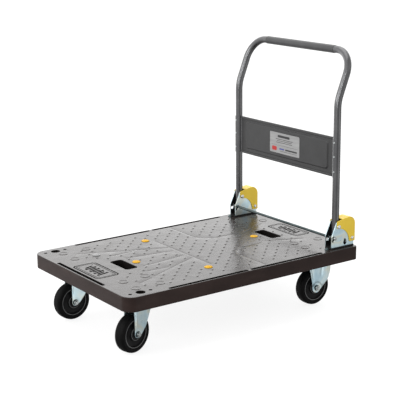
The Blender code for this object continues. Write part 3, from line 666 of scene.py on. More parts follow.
def groove_open(path, w=0.0022, depth=0.0011):
    p = [Vector(q) for q in path]
    t = [(p[min(i + 1, len(p) - 1)] - p[max(i - 1, 0)]).normalized() for i in range(len(p))]
    left = [q + Vector((-a.y, a.x)) * (w / 2) for q, a in zip(p, t)]
    right = [q - Vector((-a.y, a.x)) * (w / 2) for q, a in zip(p, t)]
    s = p[0] - t[0] * w
    e = p[-1] + t[-1] * w
    outline = [s] + right + [e] + list(reversed(left))
    ids = deck.loop([(q.x, q.y) for q in outline], TOP)
    n = len(p)
    rid, lid = ids[1:n + 1], list(reversed(ids[n + 2:]))
    cid = deck.loop([(q.x, q.y) for q in p], TOP - depth)
    for i in range(n - 1):
        deck.face((rid[i], rid[i + 1], cid[i + 1], cid[i]))
        deck.face((lid[i + 1], lid[i], cid[i], cid[i + 1]))
    deck.face((ids[0], rid[0], cid[0])); deck.face((lid[0], ids[0], cid[0]))
    deck.face((rid[-1], ids[n + 1], cid[-1])); deck.face((ids[n + 1], lid[-1], cid[-1]))
    top_loops.append([(q.x, q.y) for q in outline]); top_ids.append(ids)
    for a, c in zip(p, p[1:]):
        k = max(2, int((c - a).length / 0.006))
        for i in range(k + 1):
            q = a.lerp(c, i / k)
            keep_out.append((q.x, q.y, 0.0105))


# holes right through
SLOT_W = 0.0120
for s in (-1.0, 1.0):
    y = s * (HY - 0.0105)
    for x0, x1 in ((-0.305, -0.003), (0.009, 0.307)):
        through(rounded_rect(x0, y - SLOT_W / 2, x1, y + SLOT_W / 2, 0.0045, 4), 0.0010)
through(rounded_rect(-HX + 0.0115 - SLOT_W / 2, -0.144, -HX + 0.0115 + SLOT_W / 2, 0.144, 0.0045, 4), 0.0010)
HAND = []
for x in (-0.288, 0.306):
    through(rounded_rect(x - 0.022, -0.053, x + 0.022, 0.053, 0.010, 6), 0.0016)
    HAND.append((x - 0.030, -0.061, x + 0.030, 0.061))
for s in (-1.0, 1.0):
    through(circle(-0.393, s * 0.2645, 0.0150, 36), 0.0012)
    for x in (-0.430, -0.357):
        through(circle(x, s * 0.2645, 0.0056, 20), 0.0006)
    keep_out.append((-0.393, s * 0.2645, 0.055))

# plugs and their seats
for name in ("plug_front", "plug_near", "plug_far", "plug_rear", "plug_grey"):
    lo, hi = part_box(name)
    cx, cy, r = (lo.x + hi.x) / 2, (lo.y + hi.y) / 2, (hi.x - lo.x) / 2
    ring = circle(cx, cy, r + 0.0006, 40)
    a = deck.loop(ring, TOP)
    b2 = deck.loop(circle(cx, cy, r + 0.0003, 40), TOP - 0.0004)
    b3 = deck.loop(circle(cx, cy, r + 0.0003, 40), lo.z - 0.0002)
    deck.bridge(a, b2); deck.bridge(b2, b3); deck.fan(b3, (cx, cy, lo.z - 0.0002))
    top_loops.append(ring); top_ids.append(a)
    keep_out.append((cx, cy, r + 0.009))
    pm = Mesh()
    h = hi.z - TOP
    prof = [(0.0, hi.z)]
    for i in range(1, 11):
        g = PI / 2 * i / 10
        prof.append((r * math.sin(g) ** 0.92, TOP + 0.0007 + (h - 0.0007) * math.cos(g)))
    prof += [(r, TOP + 0.0004), (r - 0.0001, lo.z + 0.0006), (r - 0.0006, lo.z), (0.0, lo.z)]
    # a shallow dish in the head, where the moulding's gate is
    prof[0] = (0.0, hi.z - 0.00035)
    prof.insert(1, (0.0016, hi.z - 0.00030))
    prof.insert(2, (0.0026, hi.z - 0.00002))
    lathe(pm, prof, Matrix.Translation((cx, cy, 0.0)), 48)
    grey = name == "plug_grey"
    put(pm.make("deck_" + name, [GREY_PLUG if grey else YELLOW_PLUG]), "root",
        "grey_plastic" if grey else "yellow_plastic", name)

# moulded rings over the caster bosses
RINGS = []
for s in (-1.0, 1.0):
    RINGS += [(-0.383, s * 0.150), (-0.385, s * 0.225), (-0.297, s * 0.226)] + ([(-0.297, s * 0.141)] if s < 0 else [])
    RINGS += [(0.306, s * 0.145), (0.305, s * 0.203), (0.406, s * 0.152), (0.410, s * 0.212)]
for x, y in RINGS:
    boss(x, y)
    keep_out.append((x, y, 0.0245))

# a moulded frame at each end, with a plain slatted motif inside
for x0, x1, hy in ((-0.433, -0.352, 0.078), (0.368, 0.432, 0.080)):
    line = rounded_rect(x0, -hy, x1, hy, 0.0130, 6)
    # slot 1 on the frame grooves, motif bars and dots is the dark textured finish with painted shade
    groove_closed(line, 0.0048, 0.0020, 1)
    groove_closed(offset(ccw(line), 0.0076), 0.0028, 0.0015, 1)
    cx = (x0 + x1) / 2
    n = 8
    for i in range(n):
        y = -hy * 0.56 + hy * 1.12 * i / (n - 1)
        l = (x1 - x0) * (0.19 if i % 2 else 0.28)
        k = 0.32 if i % 3 else 0.20
        w = 0.0042
        bar = [(cx - l, y - w - l * k), (cx + l, y - w + l * k), (cx + l, y + w + l * k), (cx - l, y + w - l * k)]
        recess(rounded([(px, py, 0.0015) for px, py in bar], True, 3), 0.0012, 1)
    for px, py in ((x0 + 0.0165, -hy + 0.0165), (x0 + 0.0165, hy - 0.0165), (x1 - 0.0165, -hy + 0.0165), (x1 - 0.0165, hy - 0.0165)):
        recess(circle(px, py, 0.0022, 12), 0.0008, 1)
    HAND.append((x0 - 0.010, -hy - 0.010, x1 + 0.010, hy + 0.010))

# flow lines of the moulding
groove_open([(-0.059, -0.164), (-0.059, -0.08), (-0.059, 0.08), (-0.059, 0.164)])
for s in (-1.0, 1.0):
    bend = rounded([(0.078, s * 0.272, 0), (0.078, s * 0.112, 0.05), (0.130, s * 0.073, 0.04), (0.222, s * 0.071, 0)], False, 6)
    groove_open(bend)
    groove_open([(-0.068, s * 0.070), (-0.140, s * 0.100), (-0.250, s * 0.148), (-0.275, s * 0.160)])
    groove_open([(-0.290, s * 0.168), (-0.350, s * 0.192)])
    groove_open([(-0.075, s * 0.030), (-0.110, s * 0.036), (-0.200, s * 0.048), (-0.245, s * 0.051)])
    groove_open([(0.245, s * 0.066), (0.262, s * 0.075), (0.345, s * 0.110), (0.372, s * 0.118)])
    groove_open([(-0.186, s * 0.1075), (-0.262, s * 0.104)])

# grip dots: short raised lozenges in staggered rows
PITCH_Y, PITCH_X = 0.0254, 0.0508


def free(x, y):
    for x0, y0, x1, y1 in HAND:
        if x0 - 0.004 < x < x1 + 0.004 and y0 - 0.004 < y < y1 + 0.004:
            return False
    for cx, cy, r in keep_out:
        if (x - cx) ** 2 + (y - cy) ** 2 < r * r:
            return False
    return True


rows = []
for j in range(-10, 11):
    y = (j + 0.5) * PITCH_Y
    if abs(y) > 0.262:
        continue
    for i in range(-9, 10):
        x = -0.015 + i * PITCH_X + (PITCH_X / 2 if j % 2 else 0.0)
        if -0.352 < x < 0.352 and free(x, y):
            rows.append((x, y))
for x, y in rows:
    n = 14
    turn = math.radians(34)
    levels = []
    for a, c, z in ((0.0062, 0.0040, 0.0), (0.0055, 0.0033, 0.0008), (0.0043, 0.0022, 0.0013), (0.0024, 0.0010, 0.0015)):
        pts = []
        for i in range(n):
            g = 2 * PI * i / n
            u, w = a * math.cos(g), c * math.sin(g)
            pts.append((x + u * math.cos(turn) - w * math.sin(turn), y + u * math.sin(turn) + w * math.cos(turn)))
        levels.append((pts, z))
    made = [deck.loop(p, TOP + z) for p, z in levels]
    for a, c in zip(made, made[1:]):
        deck.bridge(a, c)
    deck.face(made[-1])
    top_loops.append(levels[0][0]); top_ids.append(made[0])

deck.region(top_loops, top_ids, 0)

# ribbed underside
CEIL = TOP - 0.0070


def pocket(x0, y0, x1, y1, draft=0.0012):
    lines = [(rounded_rect(x0 - 0.0006, y0 - 0.0006, x1 + 0.0006, y1 + 0.0006, 0.0046, 3), BOTTOM),
             (rounded_rect(x0, y0, x1, y1, 0.0040, 3), BOTTOM + 0.0008),
             (rounded_rect(x0 + draft, y0 + draft, x1 - draft, y1 - draft, 0.0040, 3), CEIL - 0.0018),
             (rounded_rect(x0 + draft + 0.0006, y0 + draft + 0.0006, x1 - draft - 0.0006, y1 - draft - 0.0006, 0.0036, 3), CEIL - 0.0005),
             (rounded_rect(x0 + draft + 0.0018, y0 + draft + 0.0018, x1 - draft - 0.0018, y1 - draft - 0.0018, 0.0030, 3), CEIL)]
    made = [deck.loop(p, z) for p, z in lines]
    for a, c in zip(made, made[1:]):
        deck.bridge(a, c, 2)
    deck.face(made[-1], 2)
    low_loops.append(lines[0][0]); low_ids.append(made[0])


NX, NY, RIB = 10, 6, 0.0055
PX, PY = 0.434, 0.2740
KEEP = [(-0.317, -0.259, 0.0, 0.060), (0.277, 0.335, 0.0, 0.060), (-0.400, -0.284, 0.128, 0.240),
        (0.289, 0.421, 0.128, 0.240), (-0.446, -0.345, 0.238, 0.2975), (0.335, 0.460, 0.240, 0.2975)]
cell_x, cell_y = 2 * PX / NX, 2 * PY / NY
for i in range(NX):
    for j in range(NY):
        x0, y0 = -PX + i * cell_x + RIB / 2, -PY + j * cell_y + RIB / 2
        x1, y1 = x0 + cell_x - RIB, y0 + cell_y - RIB
        lo_y, hi_y = min(abs(y0), abs(y1)), max(abs(y0), abs(y1))
        if any(x0 < k[1] and x1 > k[0] and lo_y < k[3] and hi_y > k[2] for k in KEEP):
            continue
        mx, my, w = (x0 + x1) / 2, (y0 + y1) / 2, 0.0016
        for a0, a1 in ((x0, mx - w), (mx + w, x1)):
            for b0, b1 in ((y0, my - w), (my + w, y1)):
                pocket(a0, b0, a1, b1)
deck.region(low_loops, low_ids, 2)
put(deck.make("platform_deck", [DECK, DECK_RECESS_TEXTURE_AND_SHADE, DECK_UNDER, DECK_SIDE, DECK_BORE_PAINTED_SHADE], deg=50.0), "root", "deck_plastic", "deck")

# ------------------------------------------------------------------ handle
T_LO, T_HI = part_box("handle_tube")
TUBE_R = 0.0127
PIVOT = Vector(JOINT["handle_fold"]["pos_m"])
LEG_X = PIVOT.x
LEG_Y = T_HI.y - TUBE_R
TAIL_Z = T_LO.z
BEND_Z = TOP + 0.4723
BEND_R, LEAN, LEAN_LEN, CORNER_R = 0.1256, math.radians(21.8), 0.1460, 0.0760


def handle_path():
    half = [Vector((LEG_X, LEG_Y, TAIL_Z))]
    for i in range(1, 13):
        half.append(Vector((LEG_X, LEG_Y, TAIL_Z + (BEND_Z - TAIL_Z) * i / 12)))
    for i in range(1, 13):
        a = LEAN * i / 12
        half.append(Vector((LEG_X + BEND_R * (1 - math.cos(a)), LEG_Y, BEND_Z + BEND_R * math.sin(a))))
    run = Vector((math.sin(LEAN), 0.0, math.cos(LEAN)))
    start = half[-1] + run * (LEAN_LEN - CORNER_R)
    half.append(start)
    for i in range(1, 19):
        b = PI / 2 * i / 18
        half.append(start + run * (CORNER_R * math.sin(b)) + Vector((0.0, -CORNER_R * (1 - math.cos(b)), 0.0)))
    return half + [Vector((p.x, -p.y, p.z)) for p in reversed(half)]


hm = Mesh()
sweep(hm, handle_path(), TUBE_R, 40, wall=0.0016, bore=0.035)
put(hm.make("handle_frame_tube", [PAINT], weighted=False), "handle", "painted_steel", "handle_tube")

G_LO, G_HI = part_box("grip_sleeve")
gc = (G_LO + G_HI) / 2
gr, gh = (G_HI.z - G_LO.z) / 2, (G_HI.y - G_LO.y) / 2
prof = [(TUBE_R + 0.0001, gh), (gr - 0.0004, gh), (gr, gh - 0.0006)]
prof += [(gr, gh * (1 - 2 * i / 24) * 0.985) for i in range(25)]
prof += [(gr, -gh + 0.0006), (gr - 0.0004, -gh), (TUBE_R + 0.0001, -gh)]
gm = Mesh()
lathe(gm, prof, Matrix.Translation(gc) @ TURN_Y, 40, closed=True)
put(gm.make("handle_grip_sleeve", [GRIP], weighted=False), "handle", "grip_vinyl", "grip_sleeve")

# pressed panel
P_LO, P_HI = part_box("handle_panel")
PZ0, PZ1 = P_LO.z, P_HI.z
FY, FZ0, FZ1 = 0.2225, TOP + 0.2635, TOP + 0.3600
RAISE = 0.0030


def field(y, z):
    """Height of the pressed field: 1 inside, 0 outside, with a soft shoulder."""
    cy, cz, hy, hz, r = 0.0, (FZ0 + FZ1) / 2, FY, (FZ1 - FZ0) / 2, 0.011
    qx, qz = abs(y - cy) - hy + r, abs(z - cz) - hz + r
    d = math.hypot(max(qx, 0.0), max(qz, 0.0)) + min(max(qx, qz), 0.0) - r
    t = max(0.0, min(1.0, (0.0014 - d) / 0.0032))
    return t * t * (3 - 2 * t)


pn = Mesh()
ys = sorted(set([round(-0.246 + 0.492 * i / 60, 5) for i in range(61)]
                + [round(s * (FY - 0.013 + 0.0011 * k), 5) for s in (-1, 1) for k in range(16)]))
zs = sorted(set([round(PZ0 + 0.001 + (PZ1 - PZ0 - 0.002) * i / 22, 5) for i in range(23)]
                + [round(FZ0 + 0.013 - 0.0011 * k, 5) for k in range(16)] + [round(FZ1 - 0.013 + 0.0011 * k, 5) for k in range(16)]))
ys = [y for i, y in enumerate(ys) if i == 0 or y - ys[i - 1] > 0.0004]
zs = [z for i, z in enumerate(zs) if i == 0 or z - zs[i - 1] > 0.0004]
front = [[pn.pt((LEG_X - 0.0008 - RAISE * field(y, z), y, z)) for z in zs] for y in ys]
back = [[pn.pt((LEG_X + 0.0008 - RAISE * field(y, z), y, z)) for z in zs] for y in ys]
for i in range(len(ys) - 1):
    for j in range(len(zs) - 1):
        pn.face((front[i][j], front[i + 1][j], front[i + 1][j + 1], front[i][j + 1]))
        pn.face((back[i][j], back[i][j + 1], back[i + 1][j + 1], back[i + 1][j]))
for g in (0, len(ys) - 1):
    for j in range(len(zs) - 1):
        pn.face((front[g][j], front[g][j + 1], back[g][j + 1], back[g][j]))
for g in (0, len(zs) - 1):
    for i in range(len(ys) - 1):
        pn.face((front[i][g], front[i + 1][g], back[i + 1][g], back[i][g]))
for z0, z1 in ((PZ1 - 0.0088, PZ1), (PZ0, PZ0 + 0.0088)):
    plate(pn, rounded_rect(LEG_X - 0.0042, z0, LEG_X + 0.0030, z1, 0.0026, 5), [], -0.2445, 0.2445, UPRIGHT, 0.0010)
TAB_IN, TAB_OUT = TUBE_R + 0.0002, TUBE_R + 0.0018
for side, s in SIDES:
    a0, a1 = math.radians(-18), math.radians(150)
    ring = arc(0, 0, TAB_OUT, a0, a1, 28) + arc(0, 0, TAB_IN, a1, a0, 28)
    pts = [(LEG_X - v, s * (LEG_Y - u)) for u, v in ring]
    plate(pn, pts, [], PZ0 + 0.0012, PZ1 - 0.0012, Matrix.Identity(4), 0.0005, 2, mat=1)
    # spot welds pressed into the tab
    for k, z in enumerate((PZ1 - 0.016, (PZ0 + PZ1) / 2 + 0.004, PZ0 + 0.020)):
        for ang in (math.radians(96),):
            n = Vector((-math.sin(ang), -s * math.cos(ang), 0.0))
            c = Vector((LEG_X, s * LEG_Y, z)) + n * (TAB_OUT - 0.0003)
            m = Matrix.Translation(c) @ n.to_track_quat('Z', 'Y').to_matrix().to_4x4()
            lathe(pn, [(0.0, 0.00065), (0.0012, 0.00055), (0.0019, 0.00075), (0.0025, 0.0009), (0.0031, 0.0007), (0.0036, 0.0),
                       (0.0036, -0.0004), (0.0, -0.0004)], m, 20, mat=2)
put(pn.make("handle_push_panel", [PANEL_PAINT, PAINT, STEEL], deg=40.0), "handle", "painted_steel", "handle_panel")

# label with plain blocks in place of print
L_LO, L_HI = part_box("label_plate")
lm = Mesh()
YZ = Matrix(((0, 0, -1, 0), (-1, 0, 0, 0), (0, 1, 0, 0), (0, 0, 0, 1)))      # local x to -Y, local y to +Z, local z to -X
lw = (L_HI.y - L_LO.y) / 2
plate(lm, rounded_rect(-lw, L_LO.z, lw, L_HI.z, 0.003, 5), [], -L_HI.x, -L_LO.x, YZ, 0.0002, 2)
put(lm.make("handle_label", [LABEL]), "handle", "label", "label_plate")
lh = L_HI.z - L_LO.z
face = -L_LO.x


def print_block(name, mat, shapes):
    q = Mesh()
    for u0, v0, u1, v1, r in shapes:
        x0, x1 = -lw + 2 * lw * u0, -lw + 2 * lw * u1
        z1, z0 = L_HI.z - lh * v0, L_HI.z - lh * v1
        plate(q, rounded_rect(x0, z0, x1, z1, min(r, (x1 - x0) * 0.45, (z1 - z0) * 0.45), 3), [], face - 0.0001, face + 0.00022, YZ, 0.00005, 1)
    return put(q.make(name, [mat]), "handle", "label")


print_block("handle_label_print_black", INK,
            [(0.27, 0.11, 0.67, 0.225, 0.002), (0.20, 0.30, 0.78, 0.325, 0.0005), (0.24, 0.38, 0.74, 0.402, 0.0005),
             (0.22, 0.46, 0.76, 0.482, 0.0005), (0.05, 0.605, 0.95, 0.613, 0.0002),
             (0.53, 0.74, 0.92, 0.815, 0.001), (0.35, 0.875, 0.92, 0.893, 0.0004)])
print_block("handle_label_print_red", INK_RED, [(0.075, 0.69, 0.235, 0.89, 0.004)])
print_block("handle_label_print_blue", INK_BLUE, [(0.33, 0.74, 0.49, 0.815, 0.001)])

# ------------------------------------------------------------------ brackets and lock
CHEEK_OUT, CHEEK_T = 0.0165, 0.0030
BX0, BX1 = 0.3530, 0.4521
PAD_T = 0.0050
COVER_T, COVER_X1 = 0.0025, 0.4555
COVER_ARC = (0.380, 0.019, 0.050)
COVER_PIN = (0.4430, 0.0290)
COVER_CORNER_R = 0.0270
GAP = 0.0003
ROD = mid("lock_rod")
ROD_R = 0.0045
ROD_TRAVEL = JOINT["lock_press"]["range_m"][1]
ROD_DIR = JOINT["lock_press"]["axis"]


def cover_line(d, n=14):
    t = Vector((0.985, 0.174)).normalized()
    nn = Vector((-t.y, t.x))
    p = Vector((0.425, 0.104)) - nn * d
    r = COVER_CORNER_R
    cx = COVER_X1 - r
    cz = 0.104 + (-r - (cx - 0.425) * nn.x) / nn.y
    a1 = math.atan2(nn.y, nn.x)
    return (lambda x: (x, p.y + (x - p.x) * t.y / t.x)), arc(cx, cz, r - d, a1, 0.0, n)


def up(pts):
    return [(x, TOP + z) for x, z in pts]


def cheek_outline():
    top, corner = cover_line(0.0034)
    a = [(BX0, PAD_T + 0.0004, 0.0012), (BX0, 0.043, 0.004), (0.3745, top(0.3745)[1] - 0.0006, 0.002), (*top(0.383), 0.0)]
    head = rounded([(BX1, PAD_T + 0.0004, 0.0012)] + a, False, 3)
    return up(head[0:] + corner)


def cover_outline(d=0.0):
    top, corner = cover_line(d)
    cx, cz, r = COVER_ARC
    lo = arc(cx, cz, r, math.radians(2.5), math.radians(93.0), 26)
    pts = [(0.3738 + d, top(0.3738)[1] - 0.003), (0.3745 + d, top(0.3745)[1] - 0.0010), (0.3768, top(0.3768)[1])] + corner
    pts += rounded([(COVER_X1 - d, 0.030, 0), (COVER_X1 - d, 0.0172, 0.0022), (0.4330, 0.0172, 0.002), (lo[0][0], lo[0][1], 0)], False, 4)[1:-1]
    return up(pts + lo)


def band_outline():
    top, corner = cover_line(0.0)
    topi, corneri = cover_line(0.0030)
    pts = [top(0.400), top(0.412)] + corner + [(COVER_X1, 0.0175), (COVER_X1 - 0.0030, 0.0175)]
    pts += list(reversed(corneri)) + [topi(0.412), topi(0.400)]
    return up(pts)


def slot_outline(x, z, dx, dz, r):
    a = math.atan2(dz, dx)
    q = PI / 2
    return (arc(x, z, r, a + q, a + 3 * q, 12) + arc(x + dx, z + dz, r, a - q, a + q, 12))


def hook_hole():
    return rounded([(x, TOP + z, 0.0018) for x, z in
                    ((0.413, 0.0072), (0.4202, 0.0140), (0.4196, 0.0200), (0.4158, 0.0300), (0.4102, 0.0300),
                     (0.4064, 0.0200), (0.4058, 0.0140))], True, 3)


for side, s in SIDES:
    lo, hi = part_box("bracket_" + side)
    yc = (lo.y + hi.y) / 2
    pm = Mesh()
    plate(pm, rounded_rect(BX0 + 0.0004, yc - 0.0172, BX1 + 0.0004, yc + 0.0172, 0.0016, 4), [],
          TOP + 0.0001, TOP + PAD_T - 0.0001, Matrix.Identity(4), 0.0008, 3)
    put(pm.make("lower_pad_" + side, [PAD]), "root", "black_rubber", "bracket_pad_" + side)

    bm_ = Mesh()
    # the web inside the channel takes slot 1, the painted shade finish
    plate(bm_, rounded_rect(BX0 + 0.0006, yc - 0.0150, BX1 - 0.0006, yc + 0.0150, 0.001, 2), [],
          TOP + PAD_T + 0.0004, TOP + PAD_T + 0.0034, Matrix.Identity(4), 0.0005, 2, mat=1)
    rod_slot = slot_outline(ROD.x, ROD.z, ROD_DIR[0] * ROD_TRAVEL, ROD_DIR[2] * ROD_TRAVEL, ROD_R + 0.0005)
    pin_hole = circle(PIVOT.x, PIVOT.z, 0.0044, 20)
    pin2 = circle(COVER_PIN[0], TOP + COVER_PIN[1], 0.0034, 18)
    for k, q in (("outer", s), ("inner", -s)):
        holes = [rod_slot, pin_hole, pin2] + ([hook_hole()] if k == "outer" else [])
        y0, y1 = sorted((yc + q * (CHEEK_OUT - CHEEK_T), yc + q * CHEEK_OUT))
        # UPRIGHT turns local z into -Y, so the sheet's local span is mirrored
        face_in_low = q > 0      # the face towards the channel is at the smaller |y - yc|
        # the face towards the channel takes slot 1, the painted shade finish; the outer face stays plain zinc
        m0, m1 = (0, 1) if q > 0 else (1, 0)
        plate(bm_, cheek_outline(), holes, -y1, -y0, UPRIGHT, 0.0005, 3, mat=0, mat0=m0, mat1=m1)
    put(bm_.make("channel_bracket_" + side, [ZINC, CHANNEL_PAINTED_SHADE]), "root", "zinc", "bracket_" + side)

    c0, c1 = CHEEK_OUT + GAP, CHEEK_OUT + GAP + COVER_T
    cv = Mesh()
    for q in (1.0, -1.0):
        y0, y1 = sorted((yc + q * c0, yc + q * (c1 - 0.00008)))
        plate(cv, cover_outline(0.0004), [circle(PIVOT.x, PIVOT.z, 0.0042, 18), pin2], -y1, -y0, UPRIGHT, 0.0009, 4, ch=0.0002)
    plate(cv, band_outline(), [], -yc - c1, -yc + c1, UPRIGHT, 0.0012, 4)
    put(cv.make("yellow_cover_" + side, [YELLOW], deg=55.0), "root", "yellow_plastic", "bracket_cover_" + side)

    for nm, new, px, pz, r, hr, hh in (("pivot_bolt_", "pivot_pin_", PIVOT.x, PIVOT.z, 0.0040, 0.0070, 0.0034),
                                       ("cover_pin_", "cover_rivet_", COVER_PIN[0], TOP + COVER_PIN[1], 0.0030, 0.0058, 0.0028)):
        e = c1 + GAP * 0.5
        head = [(hr * math.sin(PI / 2 * i / 8), e + 0.0006 + (hh - 0.0006) * math.cos(PI / 2 * i / 8)) for i in range(9)]
        prof = head + [(hr, e), (r, e), (r, -e)] + [(rr, -h) for rr, h in reversed(head + [(hr, e)])]
        q = Mesh()
        lathe(q, prof, Matrix.Translation((px, yc, pz)) @ TURN_Y, 32)
        put(q.make(new + side, [DOME]), "root", "steel", nm + side)

    lo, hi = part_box("foot_bolt_" + side)
    fx, fy = (lo.x + hi.x) / 2, (lo.y + hi.y) / 2
    q = Mesh()
    m = Matrix.Translation((fx, fy, TOP))
    lathe(q, rounded([(0.0, 0.0012, 0), (0.0022, 0.0012, 0), (0.0026, 0.0046, 0), (0.0040, 0.0056, 0.0012), (0.0064, 0.0034, 0.002),
                      (0.0068, 0.0013, 0.0003), (0.0080, 0.0013, 0.0004), (0.0080, 0.0001, 0.0), (0.0, 0.0001, 0)], False, 3), m, 32)
    # the foot bolt takes the dark painted-shade steel
    put(q.make("channel_foot_bolt_" + side, [DARK_SHADED_STEEL]), "root", "steel", "foot_bolt_" + side)

    # spring: hook over the rod, coil, and a hook out through the outer cheek
    wire, coil = 0.0006, 0.0034
    a = Vector((ROD.x, yc, ROD.z))
    e2 = Vector((0.4130, yc, TOP + 0.0170))
    ax = (e2 - a).normalized()
    upv = Vector((-ax.z, 0.0, ax.x))
    if upv.z < 0:
        upv = -upv
    hook_r = ROD_R + wire + 0.0007
    pts = []
    for i in range(17):
        t = math.radians(110 + 175 * i / 16)
        pts.append(a + ax * (hook_r * math.cos(t)) + upv * (hook_r * math.sin(t)))
    s0, s1, turns, per = 0.0115, 0.0415, 12, 14
    for i in range(turns * per + 1):
        t = -PI / 2 + 2 * PI * i / per
        d = s0 + (s1 - s0) * i / (turns * per)
        pts.append(a + ax * d + upv * (coil * math.sin(t)) + Vector((0.0, coil * math.cos(t), 0.0)))
    pts += [e2 - ax * 0.003 + upv * 0.0008, e2 + Vector((0.0, s * 0.003, 0.0)), e2 + Vector((0.0, s * 0.0100, 0.0)),
            e2 + Vector((0.0002, s * 0.0170, 0.0004)), e2 + Vector((0.0012, s * 0.0179, 0.002)),
            e2 + Vector((0.0030, s * 0.0180, 0.0055)), e2 + Vector((0.0050, s * 0.0180, 0.009))]
    q = Mesh()
    sweep(q, pts, wire + 0.00015, 10)
    ob = q.make("return_spring_" + side, [STEEL], weighted=False)
    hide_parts("lock_spring_" + side)
    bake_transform(ob)

rlo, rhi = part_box("lock_rod")
q = Mesh()
hl = (rhi.y - rlo.y) / 2
lathe(q, [(0.0, hl), (ROD_R - 0.0004, hl), (ROD_R, hl - 0.0004)] + [(ROD_R, hl * (1 - i / 10)) for i in range(1, 20)]
      + [(ROD_R, -hl + 0.0004), (ROD_R - 0.0004, -hl), (0.0, -hl)], Matrix.Translation(ROD) @ TURN_Y, 28)
# the rod takes the dark painted-shade steel
put(q.make("foot_rod", [DARK_SHADED_STEEL], weighted=False), "lock", "zinc", "lock_rod")
for side, s in SIDES:
    lo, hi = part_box("rod_cap_" + side)
    q = Mesh()
    m = Matrix.Translation((ROD.x, lo.y if s > 0 else hi.y, ROD.z)) @ (TURN_Y if s > 0 else Matrix.Rotation(PI, 4, 'X') @ TURN_Y)
    h = hi.y - lo.y
    prof = [(0.0062 * math.sin(PI / 2 * i / 8), 0.0005 + (h - 0.0005) * math.cos(PI / 2 * i / 8)) for i in range(9)]
    lathe(q, prof + [(0.0062, 0.0), (0.0, 0.0)], m, 32)
    # the far head takes the dark painted-shade steel and the near head plain steel
    put(q.make("foot_rod_head_" + side, [STEEL if s < 0 else DARK_SHADED_STEEL]), "lock", "zinc", "rod_cap_" + side)

# ------------------------------------------------------------------ casters
WR, WH = 0.0625, 0.0172
FORK_OUT, FORK_T, AXLE_R = 0.0245, 0.0030, 0.0050
PLATE_T = 0.0040
PLATE_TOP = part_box("rigid_fork_near")[1].z


def hexagon(r, phase):
    return [(r * math.cos(phase + PI / 3 * i), r * math.sin(phase + PI / 3 * i)) for i in range(6)]


def hex_solid(b, r, z0, z1, place, phase, bore=0.0, chamfer=True, mat=0):
    """A hexagon with turned chamfers at both ends, and a bore if it is a nut."""
    n = 36
    flat_r = r * math.cos(PI / 6)

    def hexr(a):
        k = (a - phase) % (PI / 3)
        return flat_r / math.cos(k - PI / 6)

    rings = []
    for z, lim in ((z0, flat_r * 0.97), (z0 + 0.0004, flat_r * 1.02), (z0 + 0.0012, 9.0), (z1 - 0.0012, 9.0),
                   (z1 - 0.0004, flat_r * 1.02), (z1, flat_r * 0.97)):
        rings.append([b.pt(place @ Vector((min(hexr(2 * PI * i / n + phase), lim) * math.cos(2 * PI * i / n + phase),
                                           min(hexr(2 * PI * i / n + phase), lim) * math.sin(2 * PI * i / n + phase), z)))
                      for i in range(n)])
    for a, c in zip(rings, rings[1:]):
        b.bridge(a, c, mat)
    if bore:
        i0 = [b.pt(place @ Vector((bore * math.cos(2 * PI * i / n + phase), bore * math.sin(2 * PI * i / n + phase), z0))) for i in range(n)]
        i1 = [b.pt(place @ Vector((bore * math.cos(2 * PI * i / n + phase), bore * math.sin(2 * PI * i / n + phase), z1))) for i in range(n)]
        b.bridge(rings[0], i0, mat); b.bridge(i0, i1, mat); b.bridge(i1, rings[-1], mat)
    else:
        b.fan(rings[0], place @ Vector((0, 0, z0)), mat)
        b.fan(rings[-1], place @ Vector((0, 0, z1)), mat)


